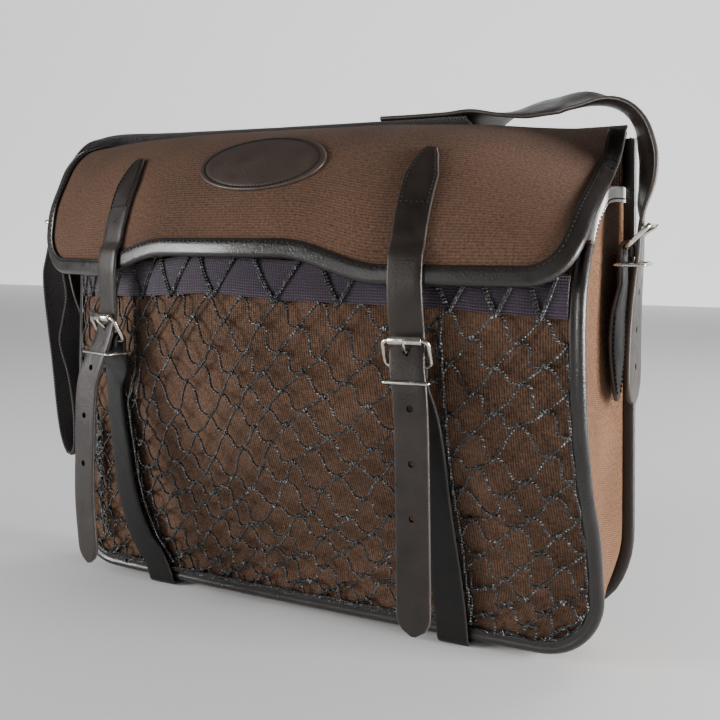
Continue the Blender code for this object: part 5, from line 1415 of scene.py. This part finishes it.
def tab_course(rows, bar, depth, across, side):
    """A tab's course up the gusset, round a wire bar and down outside it."""
    stations = strap_stations(rows, 0.005)
    width = stations[-1][2]
    wrap = WIRE_RADIUS + GAP + TAB_THICKNESS / 2
    centre = at(bar[0], depth, bar[1])
    up = Vector((0, 0, 1))
    out = across.cross(up) * -side
    for degrees in range(180, -1, -15):
        angle = math.radians(degrees)
        stations.append((centre + out * wrap * math.cos(angle) + up * wrap * math.sin(angle), across, width))
    stations.append((centre + out * wrap * 0.98 - up * 0.0030, across, width))
    stations.append((centre + out * wrap * 0.96 - up * 0.0055, across, width))
    return stations, centre, out


def side_frame(node, low, high, depth, across):
    """Rectangular wire with two long bars, at two places of x and height."""
    low_bar, high_bar = at(low[0], depth, low[1]), at(high[0], depth, high[1])
    wire_rectangle(node, (low_bar + high_bar) / 2, across, (high_bar - low_bar).normalized(),
                   SHOULDER_WIDTH / 2 + STRAP_SPARE, (high_bar - low_bar).length / 2, FRAME_CORNER,
                   WIRE_RADIUS)
    return low_bar, high_bar


side_course, side_centre, side_out = tab_course(SIDE_ANCHOR_ROWS, SIDE_BAR, SIDE_DEPTH, SIDE_ACROSS, 1)
side_anchor = strap("side_anchor_leather", side_course, TAB_THICKNESS, strap_leather)
cut_slot(side_anchor, side_centre, SIDE_ACROSS, side_out)
dress(side_anchor, "leather", "side_anchor")
left_course = tab_course(LEFT_ANCHOR_ROWS, LEFT_BAR, LEFT_DEPTH, LEFT_ACROSS, -1)[0]
left_anchor = strap("left_anchor_leather", left_course, TAB_THICKNESS, strap_leather)
dress(left_anchor, "leather", "left_anchor")
side_bar, side_outer = side_frame("side_buckle", SIDE_BAR, SIDE_OUTER_BAR, SIDE_DEPTH, SIDE_ACROSS)
side_frame("left_ring", LEFT_BAR, LEFT_OUTER_BAR, LEFT_DEPTH, LEFT_ACROSS)
keeper_out = Vector((-SIDE_KEEPER_ACROSS.y, SIDE_KEEPER_ACROSS.x, 0))
wire_rectangle("side_keeper", at(SIDE_KEEPER[0], SIDE_DEPTH, SIDE_KEEPER[1]), SIDE_KEEPER_ACROSS, keeper_out,
               SHOULDER_WIDTH / 2 + KEEPER_SPARE["side"], SIDE_KEEPER_HALF_DEPTH, KEEPER_CORNER,
               KEEPER_RADIUS)
start, over = prong("side_prong", side_bar, side_outer, WIRE_RADIUS, -SIDE_ACROSS)
holes = [station_at(leather_course, height)[0] for height in SHOULDER_HOLES]
ways = [Vector((1, 0, 0))] * len(holes)
share = (station_at(leather_course, start.z)[0].x - start.x) / (over.x - start.x)
holes.append(start.lerp(over, share))
ways.append((over - start).normalized())
punch(shoulder_leather, holes, ways, HOLE_RADIUS)
dress(shoulder_leather, "leather", "shoulder_leather")

# Stitches.
# Waxed thread holds the leather down: along the flap's binding, round the badge, along the back
# binding and the hems, in boxes on the straps' tongues and in rows on the side tabs and the join.
TONGUE_SEWN_TO, TAB_SEWN_TO, JOIN_SEWN_TO = 0.268, 0.205, 0.100
thread = Finish("waxed dark thread", (0.014, 0.010, 0.008), 0.62, {"Specular IOR Level": 0.2})
thread.feed("Base Color", thread.mix(thread.grain(700.0, 2.0), (0.004, 0.003, 0.003), (0.028, 0.022, 0.018)))
line = Recipe("line of stitches", (("Pitch", "Float", 0.004), ("Length", "Float", 0.003),
                                   ("Thickness", "Float", 0.0008), ("Finish", "Material", None)))
curve = line.node("GeometryNodeMeshToCurve", "Curve", {"Mesh": line.given["Geometry"]})
spaced = line.node("GeometryNodeResampleCurve", "Curve", {"Curve": curve, "Length": line.given["Pitch"]},
                   {"mode": "LENGTH"})
seed = line.node("GeometryNodeMeshUVSphere", "Mesh", {"Segments": 6, "Rings": 4, "Radius": 0.5})
sizes = line.node("ShaderNodeCombineXYZ", "Vector",
                  {0: line.given["Length"], 1: line.given["Thickness"], 2: line.given["Thickness"]})
shaped = line.node("GeometryNodeTransform", "Geometry", {"Geometry": seed, "Scale": sizes})
tangent = line.node("GeometryNodeInputTangent", "Tangent", {})
aligned = line.node("FunctionNodeAlignRotationToVector", "Rotation", {"Vector": tangent}, {"axis": "X"})
sewn = line.node("GeometryNodeInstanceOnPoints", "Instances",
                 {"Points": spaced, "Instance": shaped, "Rotation": aligned})
stitch_tree = line.paint(line.node("GeometryNodeRealizeInstances", "Geometry", {"Geometry": sewn}))


def stitches(name, lines, node, pitch=0.0036, length=0.0026, thickness=0.0011, closed=False):
    piece = modelled(polylines(name, lines, closed), stitch_tree,
                     {"Pitch": pitch, "Length": length, "Thickness": thickness, "Finish": thread.material})
    dress(piece, "leather", node)
    return piece


stitches("flap_binding_stitches", [flap_run], "flap_binding")
stitches("badge_stitches", [badge_run], "badge", pitch=0.0024, length=0.0021, thickness=0.0012, closed=True)
stitches("back_binding_stitches", [binding_run], "back_binding")
for side, run in hem_runs.items():
    stitches(f"gusset_hem_{side}_stitches", [run], f"gusset_hem_{side}")
for side, stations in billets.items():
    last = max(index for index, station in enumerate(stations) if station[0].z > TONGUE_SEWN_TO)
    rise = STRAP_THICKNESS / 2 + THREAD_RISE
    near, far = strap_run(stations, 1, last, 0.0023, rise), strap_run(stations, 1, last, -0.0023, rise)
    stitches(f"billet_{side}_stitches", [near, far, [near[0], far[0]], [near[-1], far[-1]]], f"billet_{side}",
             pitch=0.0028, length=0.0021)
tab_rise = TAB_THICKNESS / 2 + THREAD_RISE
for name, course in (("side_anchor", side_course), ("left_anchor", left_course)):
    last = max(index for index, station in enumerate(course) if station[0].z < TAB_SEWN_TO)
    lines = [strap_run(course, 1, last, inset, tab_rise, face)
             for inset in (0.0024, -0.0024) for face in (1, -1)]
    stitches(f"{name}_stitches", lines, name, pitch=0.0030, length=0.0022)
join = [index for index, station in enumerate(leather_course) if station[0].x < JOIN_SEWN_TO]
leather_rise = LEATHER_THICKNESS / 2 + THREAD_RISE
stitches("shoulder_leather_stitches",
         [strap_run(leather_course, join[0] + 1, join[-1], inset, leather_rise, face)
          for inset in (0.0026, -0.0026) for face in (1, -1)],
         "shoulder_leather", pitch=0.0034, length=0.0025)

# Studio.
# A pale floor before a white backdrop, with a large soft light from the left, a weak one in front, a
# strong one from the right that catches the gusset, and one from behind. All of it is staged.
FLOOR_Z, BACKDROP_Y, BACKDROP_TOP, REACH = -0.0002, 3, 2.2, 6


def stage_sheet(name, corners, finish):
    """A flat sheet of the studio, which isn't part of the bag."""
    mesh = bpy.data.meshes.new(name)
    mesh.from_pydata(corners, [], [(0, 1, 2, 3)])
    mesh.materials.append(finish.material)
    placed(name, mesh)


stage_sheet("studio_floor",
            [(-REACH, -REACH, FLOOR_Z), (REACH, -REACH, FLOOR_Z), (REACH, REACH, FLOOR_Z),
             (-REACH, REACH, FLOOR_Z)],
            Finish("pale studio floor", (0.86, 0.86, 0.86), 0.9))
stage_sheet("studio_wall",
            [(-REACH, BACKDROP_Y, FLOOR_Z), (REACH, BACKDROP_Y, FLOOR_Z), (REACH, BACKDROP_Y, BACKDROP_TOP),
             (-REACH, BACKDROP_Y, BACKDROP_TOP)],
            Finish("white backdrop", (0.9, 0.9, 0.9), 0.9,
                   {"Emission Color": (1, 1, 1, 1), "Emission Strength": 0.85}))
LIGHTS = (
    # name, place, aimed at, width, height, power
    ("key_left", (-1.40, -1.2, 0.48), (0.0, -0.05, 0.13), 0.7, 0.7, 34.0),
    ("front_strip", (-0.30, -1.7, 0.42), (0.1, -0.05, 0.22), 0.30, 0.9, 3.5),
    ("side_right", (1.45, 0.02, 0.20), (0.2, -0.02, 0.14), 0.7, 0.7, 60.0),
    ("rim_back", (0.6, 1.2, 1.1), (0.0, 0.0, 0.25), 0.9, 0.9, 8.0),
)
for name, place, target, wide, high, power in LIGHTS:
    light = bpy.data.lights.new(name, "AREA")
    light.shape, light.size, light.size_y, light.energy = "RECTANGLE", wide, high, power
    lamp = placed(name, light)
    lamp.location = place
    lamp.rotation_euler = (Vector(target) - Vector(place)).to_track_quat("-Z", "Y").to_euler()
world = bpy.data.worlds.new("studio")
world.use_nodes = True
sky = world.node_tree.nodes["Background"].inputs
sky["Color"].default_value, sky["Strength"].default_value = (1.0, 1.0, 1.0, 1.0), 0.18
bpy.context.scene.world = world
YAW, PITCH = math.radians(27.592), math.radians(0.921)
CAMERA_PLACE = (0.3429, -0.5981, 0.2522)
lens = bpy.data.cameras.new("photo_camera")
lens.lens, lens.sensor_width = 49.78, 36.0
lens.shift_x, lens.shift_y = 0.0002, -0.1529
lens.clip_start = 0.05
camera = placed("photo_camera", lens)
camera.location = CAMERA_PLACE
looking = Vector((-math.sin(YAW) * math.cos(PITCH), math.cos(YAW) * math.cos(PITCH), -math.sin(PITCH)))
camera.rotation_euler = looking.to_track_quat("-Z", "Y").to_euler()
bpy.context.scene.camera = camera
